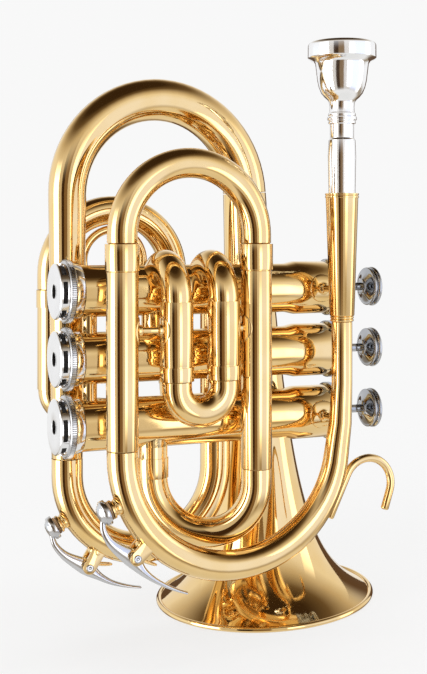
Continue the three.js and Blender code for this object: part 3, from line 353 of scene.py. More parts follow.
# %% Extruding a ring along its places
def draw_rings(bm, rings, sides):
    place, radius = rings[0]
    made = bmesh.ops.create_circle(bm, cap_ends=False, radius=radius, segments=sides, matrix=place)
    edges = list({e for v in made["verts"] for e in v.link_edges})
    first = bmesh.ops.contextual_create(bm, geom=edges)["faces"][0]
    for (before, size), (after, next_size) in zip(rings, rings[1:]):
        grown = bmesh.ops.extrude_edge_only(bm, edges=edges)["geom"]
        edges = [g for g in grown if isinstance(g, bmesh.types.BMEdge) and len(g.link_faces) == 1]
        verts = [g for g in grown if isinstance(g, bmesh.types.BMVert)]
        move = after @ Matrix.Scale(next_size / size, 4) @ before.inverted()
        bmesh.ops.transform(bm, matrix=move, verts=verts)
    last = bmesh.ops.contextual_create(bm, geom=edges)["faces"][0]
    return first, last


# %% [markdown]
# ## Fitting a tube to a valve casing
# A maker files the end of a tube hollow until it sits on the round casing, and solders it. A
# Boolean could cut that seam, but it would leave long thin faces that show in the polish. So the
# flat end of the extruded tube is divided by insets, and each of its vertices slides along the tube
# until it touches the casing. The ring before it follows, so that the shading stays even.

# %% Seating an end on a casing
CASING_SEAT, COLLAR = 9.4, 0.65
END_INSETS = 4


def push_to_casing(vert, away, valve_z, radius):
    y, z = vert.co.y, vert.co.z - valve_z
    a = away.y ** 2 + away.z ** 2
    b = y * away.y + z * away.z
    c = y * y + z * z - radius * radius
    vert.co += away * ((math.sqrt(b * b - a * c) - b) / a)


def seat_on_casing(bm, cap, away, valve_z, radius):
    reach = (cap.verts[0].co - cap.calc_center_median()).length
    seated = set(cap.verts)
    neighbours = {e.other_vert(v) for v in cap.verts for e in v.link_edges} - seated
    for _ in range(END_INSETS):
        bmesh.ops.inset_region(bm, faces=[cap], thickness=reach / (END_INSETS + 1), use_boundary=True)
        seated.update(cap.verts)
    for vert in seated:
        push_to_casing(vert, away, valve_z, radius)
    for vert in neighbours:
        push_to_casing(vert, away, valve_z, radius + COLLAR)


# %% A finished tube
def tube(name, route, sizes, body, slot, nodes, sides=48, start_bore=None, end_bore=None, depth=12,
         corner=CORNER, start_on=None, end_on=None, seat=CASING_SEAT):
    rings = route.rings(sizes)
    if start_bore:
        rings = route.bore(sizes[0][0], start_bore, depth)[::-1] + rings
    if end_bore:
        rings = rings + route.bore(route.length, end_bore, -depth)
    if start_on is not None:
        rings = rings[:1] + rings
    if end_on is not None:
        rings = rings + rings[-1:]
    bm = bmesh.new()
    first, last = draw_rings(bm, rings, sides)
    if start_on is not None:
        seat_on_casing(bm, first, route.frame(sizes[0][0])[1], start_on, seat)
    if end_on is not None:
        seat_on_casing(bm, last, -route.frame(sizes[-1][0])[1], end_on, seat)
    finish_piece(bm, name, body, slot, nodes, corner)


# %% [markdown]
# ## Turning on the lathe
# Caps, buttons, mouthpiece and bell are turned work: a tool follows a profile while the piece
# turns. A Screw modifier would do the same for one profile, but several pieces here join two or
# three turned forms in one mesh. So a profile of a few vertices is spun by an operator, and the
# vertices that it made are moved to their place with their axis along the given direction.

# %% Spinning a profile
def spin_profile(bm, profile, place, steps=72):
    verts = [bm.verts.new((r, 0, h)) for r, h in profile]
    edges = [bm.edges.new(pair) for pair in zip(verts, verts[1:])]
    made = bmesh.ops.spin(bm, geom=verts + edges, cent=(0, 0, 0), axis=(0, 0, 1), dvec=(0, 0, 0),
                          angle=2 * math.pi, steps=steps, use_merge=True, use_normal_flip=False,
                          use_duplicate=False)
    fresh = set(verts)
    todo = list(verts)
    while todo:
        for e in todo.pop().link_edges:
            for v in e.verts:
                if v not in fresh:
                    fresh.add(v)
                    todo.append(v)
    fresh = list(fresh)
    bmesh.ops.remove_doubles(bm, verts=fresh, dist=MERGE_DISTANCE)
    fresh = [v for v in fresh if v.is_valid]
    bmesh.ops.transform(bm, matrix=place, verts=fresh)
    return fresh


def axis_place(point, direction):
    place = Z.rotation_difference(Vector(direction)).to_matrix().to_4x4()
    place.translation = Vector(point)
    return place


def turned(name, profile, point, direction, body, slot, nodes=(), steps=72, corner=CORNER):
    bm = bmesh.new()
    spin_profile(bm, profile, axis_place(point, direction), steps)
    finish_piece(bm, name, body, slot, nodes, corner)


def arc_points(centre, radius, start, end, count):
    angles = [math.radians(start + (end - start) * i / count) for i in range(count + 1)]
    return [(centre[0] + radius * math.cos(a), centre[1] + radius * math.sin(a)) for a in angles]


# %% [markdown]
# ## Bell bow and bell tail
# From the first valve the tube drops behind the block, turns under it, climbs the left side and
# goes over the top into the bell. A curve with a second curve as its taper could draw it, but the
# places where it grows would be hard to set. Here each ring has a radius of its own, and the last
# one has the radius that the bell's flare begins with.

# %% Bell bow
RIM_RADIUS, FLARE_LENGTH, FLARE_POWER, BELL_LENGTH = 47, 12.5, 0.6, 174.8
BOW_X, BOW_Y, BOW_LOW = 0.9, 20.4, -41.6
BOW_RISE, BOW_RADIUS = 105.3, 40.3
BELL_BEHIND, BELL_LEAN = 5.6, math.radians(3.2)


def flare_radius(height):
    return RIM_RADIUS * (FLARE_LENGTH / (height + FLARE_LENGTH)) ** FLARE_POWER


across = math.asin(BELL_BEHIND / (2 * BOW_RADIUS))
bell_bow_route = Route((BOW_X, BOW_Y, BOW_LOW), Z).straight(BOW_RISE).bend(
    BOW_RADIUS, math.pi - BELL_LEAN, Z.cross(Vector((math.cos(across), math.sin(across), 0))))
bow_end = bell_bow_route.length
bow_crown = BOW_RISE + (bow_end - BOW_RISE) / 2
tube("bell_bow_tube", bell_bow_route,
     [(0, 6.25), (92.6, 7.4), (bow_crown, 8.7), (bow_end, flare_radius(BELL_LENGTH))],
     "trumpet", "gold_lacquer", ["bell_bow"], sides=56, start_bore=5.75, end_bore=8.6)

# %% Bell tail
TAIL_X, TAIL_Y, TAIL_BOW_Z = 64.2, 18, -48.9
TAIL_ELBOW, TAIL_RADIUS = 10, 6.3
bow_out = Vector((BOW_X - TAIL_X, BOW_Y - TAIL_Y, 0))
tail_bow_radius = bow_out.length / 2
bow_out.normalize()
tail_route = (Route((TAIL_X, 0, PITCH), Y).straight(TAIL_Y - TAIL_ELBOW).bend(TAIL_ELBOW, math.pi / 2, -X)
              .straight(PITCH - TAIL_ELBOW - TAIL_BOW_Z)
              .bend(tail_bow_radius, math.pi, (-Z).cross(bow_out)).straight(7))
tube("bell_tail_tube", tail_route, [(CASING_SEAT, TAIL_RADIUS), (tail_route.length, TAIL_RADIUS)],
     "trumpet", "gold_lacquer", ["bell_tail"], end_bore=5.8, start_on=PITCH)

# %% [markdown]
# ## The bell
# The bell is one sheet of brass, spun over a mandrel to a flare that is close to a power curve,
# with its edge rolled over a wire. The curve could be drawn by hand, but a formula with three
# numbers gives an even flare and is quick to correct. The profile runs up the outside, back down
# the inside, and round the bead, which is flat underneath where the instrument stands.

# %% Bell
BELL_WALL, BELL_RISE = 0.7, 0.9
BEAD, BEAD_REACH = 2.3, 44.885


def bell_profile(count=44):
    outside, inside = [], []
    first = FLARE_LENGTH * ((RIM_RADIUS / BEAD_REACH) ** (1 / FLARE_POWER) - 1)
    growth = (BELL_LENGTH + FLARE_LENGTH) / (first + FLARE_LENGTH)
    for i in range(count + 1):
        h = (first + FLARE_LENGTH) * growth ** (i / count) - FLARE_LENGTH
        r = flare_radius(h)
        slope = -FLARE_POWER * r / (h + FLARE_LENGTH)
        reach = math.hypot(1, slope)
        rise = BELL_RISE * (1 - i / count)
        outside.append((r, h + rise))
        inside.append((r - BELL_WALL / reach, h + rise + BELL_WALL * slope / reach * (i < count)))
    bead = ([(BEAD_REACH, 0), (RIM_RADIUS - 0.9, 0)]
            + arc_points((RIM_RADIUS - 1.1, BEAD / 2), BEAD / 2, -70, 150, 10))
    loop = bead + outside + inside[::-1]
    return loop + loop[:1]


RIM_CENTRE = bell_bow_route.end[0] - BELL_UP * (BELL_LENGTH + 0.3)
print("rim centre", RIM_CENTRE)
turned("bell_flare", bell_profile(), RIM_CENTRE, BELL_UP, "trumpet", "gold_lacquer", ["bell"],
       steps=128, corner=0)

# %% [markdown]
# ## Mouthpiece and receiver
# The mouthpiece is turned from solid bar and silver plated: a rounded rim, a cup, a waist with a
# bead, and a tapered shank that seats in the receiver. A Solidify modifier could give it a wall, but
# its outside and its cup have different shapes. So one closed profile draws both, and light falls
# into a real cup.

# %% Mouthpiece
LEAD_X = 100.3
MOUTHPIECE_LENGTH = 85


def down(drop):
    return MOUTHPIECE_LENGTH - drop


def mouthpiece_profile():
    rim = arc_points((12.0, down(1.6)), 1.6, 0, 90, 6) + arc_points((10.2, down(2.0)), 2.0, 90, 180, 8)
    outside = [(4.9, 0), (5.52, down(48)), (5.6, down(45.4)), (5.33, down(38.7)), (4.75, down(38)),
               (4.75, down(32.5)), (5.4, down(32.3)), (5.5, down(31.4)), (5.2, down(31.1)), (5.8, down(30.9)),
               (5.9, down(30.2)), (5.8, down(29.5)), (5.2, down(29.3)), (5.5, down(29)), (5.4, down(28.1)),
               (5.0, down(27.9)), (4.9, down(25.5)), (5.1, down(23.8)), (5.7, down(22.9)), (6.9, down(21.9)),
               (8.2, down(20.3)), (9.1, down(18.2)), (9.8, down(15.4)), (10.2, down(12)),
               (10.6, down(8.6)), (11.3, down(7.5)), (12.9, down(6.8)), (13.6, down(6.2))]
    cup = [(7.9, down(4.5)), (7.3, down(7)), (6, down(9.2)), (3.6, down(11)), (2.1, down(12.4)),
           (1.85, down(14)), (1.85, down(20)), (4, 0)]
    loop = outside + rim + cup
    return loop + loop[:1]


turned("mouthpiece_turned", mouthpiece_profile(), (LEAD_X, FRONT_Y, 39), Z, "mouthpiece", "silver_plate",
       ["mouthpiece"], steps=96, corner=0.1)

# %% Receiver
receiver_profile = (arc_points((4.2, 0.55), 0.5, -80, 80, 6) + arc_points((4.2, 1.65), 0.5, -80, 80, 6)
                    + [(4.75, 2.3), (4.95, 2.6), (6.45, 49), (6.73, 49), (6.73, 49.7), (6.5, 49.85),
                       (6.5, 50.05), (6.73, 50.2), (6.73, 50.8), (5.85, 50.8), (5.2, 25.7), (3.7, 25.4),
                       (3.7, 0.06)])
receiver_profile.append(receiver_profile[0])
turned("receiver_turned", receiver_profile, (LEAD_X, FRONT_Y, 13.3), Z, "trumpet", "gold_lacquer",
       ["mouthpiece_receiver"], steps=64)

# %% [markdown]
# ## Leadpipe
# The leadpipe leaves the receiver straight, bends gently at first and then round a wide bow up to
# the left sleeve of the tuning slide, growing as it goes. The gentle bend's radius isn't chosen: it
# is the one that carries the tube from the receiver's line to the bow without a kink. A curve
# through points placed by hand would be quicker, but it would wobble in the reflections.

# %% Leadpipe
LEAD_TOP, BOW_TOP = 13.2, -31.7
LEAD_BOW_X, LEAD_BOW_Z, LEAD_BOW_RADIUS = 53.5, -33.8, 44.6
LEAD_NARROW, LEAD_MIDDLE, LEAD_WIDE = 4.1, 5, 5.75
BLEND, GROWTH_END = math.radians(11), math.radians(45)
blend_radius = (LEAD_X - LEAD_BOW_X - LEAD_BOW_RADIUS * math.cos(BLEND)) / (1 - math.cos(BLEND))
blend_top = LEAD_BOW_Z + (blend_radius - LEAD_BOW_RADIUS) * math.sin(BLEND)
lead_route = (Route((LEAD_X, FRONT_Y, LEAD_TOP), -Z).straight(LEAD_TOP - blend_top)
              .bend(blend_radius, BLEND, Y).bend(LEAD_BOW_RADIUS, math.pi - BLEND, Y)
              .straight(BOW_TOP - LEAD_BOW_Z))
blend_start, bow_start = (lead_route.pieces[i]["start"] for i in (1, 2))
tube("leadpipe_tube", lead_route,
     [(0, LEAD_NARROW), (blend_start, LEAD_NARROW), (bow_start, LEAD_MIDDLE),
      (bow_start + LEAD_BOW_RADIUS * GROWTH_END, LEAD_WIDE), (lead_route.length, LEAD_WIDE)],
     "trumpet", "gold_lacquer", ["leadpipe"])

# %% [markdown]
# ## Slides
# A slide is an outer sleeve with a ferrule at its mouth, and a crook whose thin legs run inside it.
# The bow of the crook is thicker and stops at the ferrule. Cylinders could be stacked for this, but
# steps in the radius of one tube leave no hidden faces. Each step is drawn as two rings at the same
# place, so the edges stay crisp. A fine groove sets each ferrule off from its sleeve.

# %% Sleeves and crooks
LEG, BORE, CROOK_BORE = 5.2, 5.5, 4.7
SLEEVE, GROOVE, FERRULE, GROOVE_WIDTH = 6, 5.7, 6.4, 0.4
BOW = 5.65
TUNING_X = (8.9, 63.0)


def sleeve(name, start, heading, length, ferrule, node, start_on=None):
    mouth = length - ferrule
    sizes = [(0, SLEEVE), (mouth - GROOVE_WIDTH, SLEEVE), (mouth - GROOVE_WIDTH, GROOVE),
             (mouth, GROOVE), (mouth, FERRULE), (length, FERRULE)]
    tube(name, Route(start, heading).straight(length), sizes, "trumpet", "gold_lacquer", [node],
         end_bore=BORE, depth=length * 0.85, start_on=start_on)


def crook(name, leg_end, heading, leg, reach, spacing, axis, radius, body, node):
    run = leg + reach
    route = Route(leg_end, heading).straight(run).bend(spacing / 2, math.pi, axis).straight(run)
    far = route.length
    sizes = [(0, LEG), (leg, LEG), (leg, radius), (far - leg, radius), (far - leg, LEG), (far, LEG)]
    tube(name, route, sizes, body, "gold_lacquer", [node], start_bore=CROOK_BORE, end_bore=CROOK_BORE)


tuning_left, tuning_right = TUNING_X
sleeve("tuning_sleeve_left_tube", (tuning_left, FRONT_Y, -31.4), Z, 75.6, 9.9, "tuning_sleeve_left")
sleeve("tuning_sleeve_right_tube", (tuning_right, FRONT_Y, -41.85), Z, 86.05, 9.9, "tuning_sleeve_right")
crook("tuning_crook", (tuning_left, FRONT_Y, 0.5), Z, 44, 3.1, tuning_right - tuning_left, Y, BOW,
      "tuning_slide", "tuning_slide")

# %% First slide
FIRST_X = (30.3, 49.4)
ARCH_RADIUS, ARCH_DROP = 13.2, 30.2
ARCH_START = ARCH_RADIUS * math.radians(53.2)
ARCH_NECK, ARCH_SLEEVE, ARCH_GROOVE, ARCH_FERRULE = 5.35, 6.2, 5.8, 6.5
ARCH_STEPS = (0.2, 0.6, 24.5, 24.9)  # where neck, sleeve, groove and ferrule start, below the bend


def first_arch(name, x, node):
    route = Route((x, 0, 23.1), Z).bend(ARCH_RADIUS, math.pi, X).straight(ARCH_DROP)
    top = route.pieces[1]["start"]
    neck, sleeve_start, groove, ferrule = (top + step for step in ARCH_STEPS)
    sizes = [(ARCH_START, BOW), (neck, BOW), (neck, ARCH_NECK), (sleeve_start, ARCH_NECK),
             (sleeve_start, ARCH_SLEEVE), (groove, ARCH_SLEEVE), (groove, ARCH_GROOVE),
             (ferrule, ARCH_GROOVE), (ferrule, ARCH_FERRULE), (route.length, ARCH_FERRULE)]
    tube(name, route, sizes, "trumpet", "gold_lacquer", [node], end_bore=BORE, depth=24, start_on=PITCH)


first_left, first_right = FIRST_X
first_arch("first_arch_left_tube", first_left, "first_slide_arch_left")
first_arch("first_arch_right_tube", first_right, "first_slide_arch_right")
crook("first_crook", (first_left, FRONT_Y, 15.6), -Z, 23, 2.4, first_right - first_left, -Y, BOW,
      "first_slide", "first_slide_crook")

# %% Second slide
SECOND_X = (18, 36)
for label, x in zip(("left", "right"), SECOND_X):
    sleeve(f"second_sleeve_{label}_tube", (x, CASING_SEAT, 0), Y, 15.6, 4, f"second_slide_sleeve_{label}",
           start_on=0)
crook("second_crook", (SECOND_X[0], 12.3, 0), Y, 13, 2.2, SECOND_X[1] - SECOND_X[0], -Z, BOW,
      "second_slide", "second_slide_crook")

# %% Third slide
THIRD_X, THIRD_Y, THIRD_MOUTH = (-1.3, 51.9), 36.3, 25
THIRD_DROP, THIRD_ELBOW, THIRD_IN = 40.9, 10, 16.9
THIRD_LEG_END, THIRD_LEG, THIRD_REACH, THIRD_BOW = -6.7, 32, 6.3, 6


def third_tube(name, route, node):
    sizes = [(0, FERRULE), (7.2, FERRULE), (7.2, SLEEVE), (THIRD_DROP, SLEEVE), (THIRD_DROP, BOW),
             (route.length, BOW)]
    tube(name, route, sizes, "trumpet", "gold_lacquer", [node], start_bore=BORE, depth=32, end_on=-PITCH)


third_left, third_right = (Route((x, THIRD_Y, THIRD_MOUTH), -Z).straight(THIRD_DROP) for x in THIRD_X)
third_left.bend(THIRD_ELBOW, math.pi / 2, -Y).straight(3.3).bend(THIRD_ELBOW, math.pi / 2, -Z)
third_right.bend(THIRD_ELBOW, math.pi / 2, -X)
third_tube("third_tube_left", third_left.straight(THIRD_IN), "third_slide_tube_left")
third_tube("third_tube_right", third_right.straight(THIRD_IN), "third_slide_tube_right")
crook("third_crook", (THIRD_X[0], THIRD_Y, THIRD_LEG_END), Z, THIRD_LEG, THIRD_REACH,
      THIRD_X[1] - THIRD_X[0], Y, THIRD_BOW, "third_slide", "third_slide_crook")

# %% [markdown]
# ## Finger ring and finger hook
# Both are bent from round rod. The ring hangs inside the third slide's crook, and the hook for the
# little finger is soldered to the outside of the leadpipe bow. A torus primitive could make the
# ring, but a small circle spun round an axis shows how any rod is swept.

# %% Finger ring
RING_RADIUS, RING_ROD, SOLDER_GAP = 13.15, 1.75, 0.3


def ring_piece(name, centre, radius, rod, body, nodes):
    bm = bmesh.new()
    place = Matrix.Translation((radius, 0, 0)) @ Matrix.Rotation(math.pi / 2, 4, "X")
    made = bmesh.ops.create_circle(bm, cap_ends=False, radius=rod, segments=24, matrix=place)
    edges = list({e for v in made["verts"] for e in v.link_edges})
    bmesh.ops.spin(bm, geom=made["verts"] + edges, cent=(0, 0, 0), axis=(0, 0, 1), dvec=(0, 0, 0),
                   angle=2 * math.pi, steps=96, use_merge=True, use_normal_flip=False,
                   use_duplicate=False)
    bm.transform(axis_place(centre, Y))
    finish_piece(bm, name, body, "gold_lacquer", nodes, corner=0)


third_spacing = THIRD_X[1] - THIRD_X[0]
crown_inside = THIRD_LEG_END + THIRD_LEG + THIRD_REACH + third_spacing / 2 - THIRD_BOW
ring_drop = RING_RADIUS + RING_ROD + SOLDER_GAP
ring_piece("finger_ring_bent", (THIRD_X[0] + third_spacing / 2, THIRD_Y, crown_inside - ring_drop),
           RING_RADIUS, RING_ROD, "third_slide", ["finger_ring"])

# %% Finger hook
HOOK_ROD, HOOK_BEND = 1.6, 10.5
HOOK_LEG, HOOK_TURN, HOOK_TIP = 18.4, math.radians(172), 8
hook_angle, hook_rise = math.radians(36.5), math.radians(64.3)
hook_reach = LEAD_BOW_RADIUS + 6.6
hook_foot = Vector((LEAD_BOW_X + hook_reach * math.cos(hook_angle), FRONT_Y,
                    LEAD_BOW_Z - hook_reach * math.sin(hook_angle)))
hook_route = (Route(hook_foot, Vector((math.cos(hook_rise), 0, math.sin(hook_rise)))).straight(HOOK_LEG)
              .bend(HOOK_BEND, HOOK_TURN, Y).straight(HOOK_TIP))
tube("finger_hook_bent", hook_route, [(0, HOOK_ROD), (hook_route.length, HOOK_ROD)], "trumpet",
     "gold_lacquer", ["finger_hook"], sides=24, corner=0.7)

# %% [markdown]
# ## Inlet and knuckles
# The inlet bow joins the tuning slide to the underside of the third valve. The knuckles are short
# tubes soldered between the casings, and thin studs beside them keep the block stiff. They could
# run on into the casings, but then unseen ends would lie inside, so each end is seated on a casing.

# %% Inlet bow and port
INLET_X, INLET_Y, INLET_RADIUS = 29.2, -2.5, 5.8
PORT_LOW, PORT_LENGTH, PORT_FERRULE, PORT_RADIUS = -47.2, 12.2, 7.7, 6.2
inlet_across = Vector((INLET_X - tuning_right, INLET_Y - FRONT_Y, 0))
inlet_route = Route((tuning_right, FRONT_Y, -42.0), -Z).straight(5.3).bend(
    inlet_across.length / 2, math.pi, (-Z).cross(inlet_across.normalized()))
tube("inlet_bow_tube", inlet_route, [(0, INLET_RADIUS), (inlet_route.length, INLET_RADIUS)], "trumpet",
     "gold_lacquer", ["inlet_bow"])
port_route = Route((INLET_X, INLET_Y, PORT_LOW), Z).straight(PORT_LENGTH)
tube("inlet_port_tube", port_route,
     [(0, PORT_RADIUS), (PORT_FERRULE, PORT_RADIUS), (PORT_FERRULE, INLET_RADIUS),
      (PORT_LENGTH, INLET_RADIUS)],
     "trumpet", "gold_lacquer", ["inlet_port"], end_on=-PITCH)


# %% Knuckles and studs
def between_casings(name, x, low, radius, seat, nodes=()):
    run = PITCH - 2 * seat
    tube(name, Route((x, 0, low + seat), Z).straight(run), [(0, radius), (run, radius)], "trumpet",
         "gold_lacquer", nodes, start_on=low, end_on=low + PITCH, seat=seat)


between_casings("knuckle_upper_tube", 31.4, 0, 5.85, CASING_SEAT, ["knuckle_upper"])
between_casings("knuckle_lower_tube", 17.9, -PITCH, 5.85, CASING_SEAT, ["knuckle_lower"])
for label, low in (("upper", 0), ("lower", -PITCH)):
    between_casings(f"stud_{label}_left", 4.2, low, 2.9, 9.6)

# %% [markdown]
# ## Valves
# Each valve is a casing with a cap at each end and a piston inside, pushed by a finger button. The
# bottom cap has a vent hole and a knurled rim to unscrew it by. Cylinders and cones could be put
# together for it, but all of it is lathe work, so profiles are spun, and the three valves come from
# the same ones in a loop.

# %% Casings, pistons and stems
VALVES = ((1, PITCH), (2, 0.0), (3, -PITCH))
casing_profile = [(10, 0), (10, 87), (10.9, 91), (10.9, 106.5), (8.9, 106.5), (8.9, 0), (10, 0)]
piston_profile = [(8.6, 17.5), (8.6, 104), (0, 104), (0, 102), (7.8, 102), (7.8, 17.5), (8.6, 17.5)]
for number, z in VALVES:
    turned(f"casing_{number}", casing_profile, (0, 0, z), X, "trumpet", "gold_lacquer",
           [f"valve_{number}_casing"])
    turned(f"piston_{number}", piston_profile, (0, 0, z), X, f"valve_{number}_piston", "nickel",
           [f"valve_{number}_piston"])
    turned(f"stem_{number}", [(0, 104.1), (1.7, 104.1), (1.7, 124), (0, 124)], (0, 0, z), X,
           f"valve_{number}_piston", "nickel", [f"valve_{number}_stem"], steps=32)

# %% Buttons
button_profile = ([(0, 0), (2.6, 0), (3.1, 0.2), (3.2, 0.6), (4.5, 1.4), (6.2, 2.15), (7.2, 2.45)]
                  + arc_points((7.5, 3.0), 0.55, -90, 90, 8)
                  + [(7.0, 3.6), (6.9, 3.8), (6.9, 4.1), (7.0, 4.3)]
                  + arc_points((7.4, 5.2), 0.9, -80, 100, 12)
                  + [(6.9, 6.2), (6.6, 6.0), (4.5, 5.85), (2, 5.75), (0, 5.7)])
for number, z in VALVES:
    turned(f"button_{number}", button_profile, (123.8, 0, z), X, f"valve_{number}_piston", "nickel",
           [f"valve_{number}_button"], corner=0.06)

# %% [markdown]
# ## Caps
# A cap's grip is knurled: a wheel presses small teeth into its edge. The bottom cap has a row of
# windows behind its face, too. Cutting with a Boolean would be slow and leave ragged edges, so the
# faces of the spun cap are inset instead, and the new ones are moved out as teeth or in as windows.

# %% Cutting windows and teeth
CAP_CORNER, CAP_STEPS = 0.12, 96
WINDOWS, WINDOW_HALF, WINDOW_DEPTH = 6, math.radians(22), 1.1
TOOTH_INSET, TOOTH_HEIGHT = 0.16, 0.34


def cut_windows(bm, radius, low, high):
    pitch = 2 * math.pi / WINDOWS
    faces = []
    for face in bm.faces:
        middle = face.calc_center_median()
        turn = math.atan2(middle.y, middle.x) % pitch - pitch / 2
        if low < middle.z < high and middle.xy.length > radius - 0.2 and abs(turn) < WINDOW_HALF:
            faces.append(face)
    bmesh.ops.inset_region(bm, faces=faces, thickness=0.12, use_boundary=True, use_even_offset=True)
    for vert in {v for face in faces for v in face.verts}:
        vert.co.xy *= 1 - WINDOW_DEPTH / radius


def knurl(bm, radius, low, high):
    rim = []
    for face in bm.faces:
        middle = face.calc_center_median()
        if low < middle.z < high and middle.xy.length > radius - 0.3 and abs(face.normal.z) < 0.3:
            rim.append(face)
    bmesh.ops.inset_individual(bm, faces=rim, thickness=TOOTH_INSET, depth=0.0, use_even_offset=True)
    for face in rim:
        for vert in face.verts:
            vert.co.xy *= 1 + TOOTH_HEIGHT / radius


def knurled_cap(name, profile, grip, point, slot, nodes, windows=None, finish=None):
    bm = bmesh.new()
    spin_profile(bm, profile, Matrix.Identity(4), CAP_STEPS)
    bmesh.ops.recalc_face_normals(bm, faces=bm.faces)
    soften(bm, CAP_CORNER)
    if windows:
        cut_windows(bm, *windows)
    knurl(bm, *grip)
    bm.transform(axis_place(point, X))
    finish_piece(bm, name, "trumpet", slot, nodes, corner=0, finish=finish)


# %% Bottom caps and top caps
bottom_cap_profile = [(2.75, 0), (10.4, 0), (10.9, 0.4), (10.9, 1.0), (10.9, 2.8), (10.9, 7.0), (10.4, 9.7),
                      (9.2, 9.7), (9.2, 1.2), (2.75, 1.2), (2.75, 0)]
cap_rim_profile = [(10.7, 3.6), (11.6, 3.7), (11.9, 4.0), (11.9, 6.0), (11.6, 6.3), (10.7, 6.8), (10.7, 3.6)]
top_cap_profile = [(2, 0), (11.5, 0), (11.5, 2.4), (10.7, 3.2), (2, 3.2), (2, 0)]
BOTTOM_GRIP, TOP_GRIP, CAP_WINDOWS = (11.9, 4.0, 6.0), (11.5, 0.1, 2.3), (10.9, 1.05, 2.75)
# Rings of painted shade: in the windows, just inside the cap wall and in the vent hole.
SHADE_LININGS = ((9.7, 10.05, 1.05, 2.75), (8.95, 9.15, 1.4, 8.5), (2.6, 2.8, 0.1, 1.3))
for number, z in VALVES:
    bottom, top = (-10, 0, z), (106.8, 0, z)
    knurled_cap(f"bottom_cap_{number}", bottom_cap_profile, BOTTOM_GRIP, bottom, "silver_plate",
                [f"valve_{number}_bottom_cap"], CAP_WINDOWS, faced)
    # The knurled rim is a ring of its own in the darker silver, as painted shade: the real cap is one piece.
    knurled_cap(f"bottom_cap_{number}_rim", cap_rim_profile, BOTTOM_GRIP, bottom, "silver_plate", (),
                finish=painted_shade_silver)
    recess = bmesh.new()
    for inner, outer, low, high in SHADE_LININGS:
        loop = [(inner, low), (outer, low), (outer, high), (inner, high), (inner, low)]
        spin_profile(recess, loop, axis_place(bottom, X), 64)
    finish_piece(recess, f"bottom_cap_{number}_recess", "trumpet", "nickel", (), corner=0, finish=cap_painted_shade)
    knurled_cap(f"top_cap_{number}", top_cap_profile, TOP_GRIP, top, "nickel", [f"valve_{number}_top_cap"])

# %% [markdown]
# ## Braces
# Neighbouring tubes are held apart by turned rods. Each end is soldered on with a thin round
# flange, hammered to the curve of its tube. The brace is spun flat as one turned piece, and then
# the vertices near each end are pushed down until they follow the tube. A Shrinkwrap modifier would
# press both faces of the flange onto the tube, and its thickness would be lost.

# %% Shape of a brace
LARGEST_FLANGE, FLANGE_SHARE = 6, 0.88
SHORT_BRACE = 4  # below this length there is no room for collars


def brace_profile(start, end, flanges):
    near, far = flanges
    profile = [(0, start - 0.3), (near / 2, start - 0.3), (near, start - 0.3), (near, start + 0.2),
               (near - 0.2, start + 0.4)] + [(near * k, start + 0.45) for k in (0.8, 0.6, 0.5)]
    if end - start > SHORT_BRACE:
        profile += [(2.2, start + 0.45), (2.2, start + 1.3), (1.7, start + 1.6), (1.3, start + 1.8),
                    (1.3, end - 1.8), (1.7, end - 1.6), (2.2, end - 1.3), (2.2, end - 0.45)]
    else:
        profile += [(1.6, start + 0.45), (1.6, end - 0.45)]
    return profile + [(far * k, end - 0.45) for k in (0.5, 0.6, 0.8)] + [
        (far - 0.2, end - 0.4), (far, end - 0.2), (far, end + 0.3), (far / 2, end + 0.3), (0, end + 0.3)]


def brace(node, first, second):
    (start, start_radius, start_axis), (end, end_radius, end_axis) = first, second
    start, end = Vector(start), Vector(end)
    along = (end - start).normalized()
    length = (end - start).length
    flanges = [min(LARGEST_FLANGE, FLANGE_SHARE * radius) for radius in (start_radius, end_radius)]
    bm = bmesh.new()
    profile = brace_profile(start_radius, length - end_radius, flanges)
    spin_profile(bm, profile, axis_place(start, along), 64)
    soften(bm, 0.08)
    for origin, radius, axis, away in ((start, start_radius, start_axis, along),
                                       (end, end_radius, end_axis, -along)):
        across = away.cross(axis).normalized()
        for vert in bm.verts:
            height = (vert.co - origin).dot(away)
            if height < radius + 0.5:
                bend = (vert.co - origin).dot(across) / radius
                sideways, down_by = radius * (math.sin(bend) - bend), radius * (1 - math.cos(bend))
                vert.co += across * sideways - away * down_by
    finish_piece(bm, node + "_turned", "trumpet", "gold_lacquer", [node], corner=0)


# %% Braces
BRACE_Z, CASING_WIDE, RECEIVER_AT_BRACE, CASING_AT_BELL = 12.1, 10.9, 5.28, 10
brace("brace_tuning_to_first", ((tuning_left, FRONT_Y, BRACE_Z), SLEEVE, Z),
      ((first_left, FRONT_Y, BRACE_Z), SLEEVE, Z))
brace("brace_first_to_tuning", ((first_right, FRONT_Y, BRACE_Z), SLEEVE, Z),
      ((tuning_right, FRONT_Y, BRACE_Z), SLEEVE, Z))
brace("brace_casing_to_receiver", ((LEAD_X, 0, PITCH), CASING_WIDE, X),
      ((LEAD_X, FRONT_Y, PITCH), RECEIVER_AT_BRACE, Z))
brace("brace_casing_to_leadpipe", ((LEAD_X, 0, -PITCH), CASING_WIDE, X),
      ((LEAD_X, FRONT_Y, -PITCH), LEAD_NARROW, Z))
bell_height = (PITCH - RIM_CENTRE.z) / BELL_UP.z
bell_point = RIM_CENTRE + BELL_UP * bell_height
brace("brace_casing_to_bell", ((bell_point.x, 0, PITCH), CASING_AT_BELL, X),
      (bell_point, flare_radius(bell_height), BELL_UP))

# %% [markdown]
# ## Water keys
# A water key lets the player blow condensation out of the bow. A cork in a small cup is held on a
# nipple by a wire spring, and a lever that rocks on a screw between two lugs lifts it. The lever is
# a forging, thick at the pivot and drawn out thin towards the finger, so its rings are ellipses.
# A subdivided box could be pulled into this shape by hand, but a table of heights and thicknesses
# along the bow is easier to correct against a photograph.

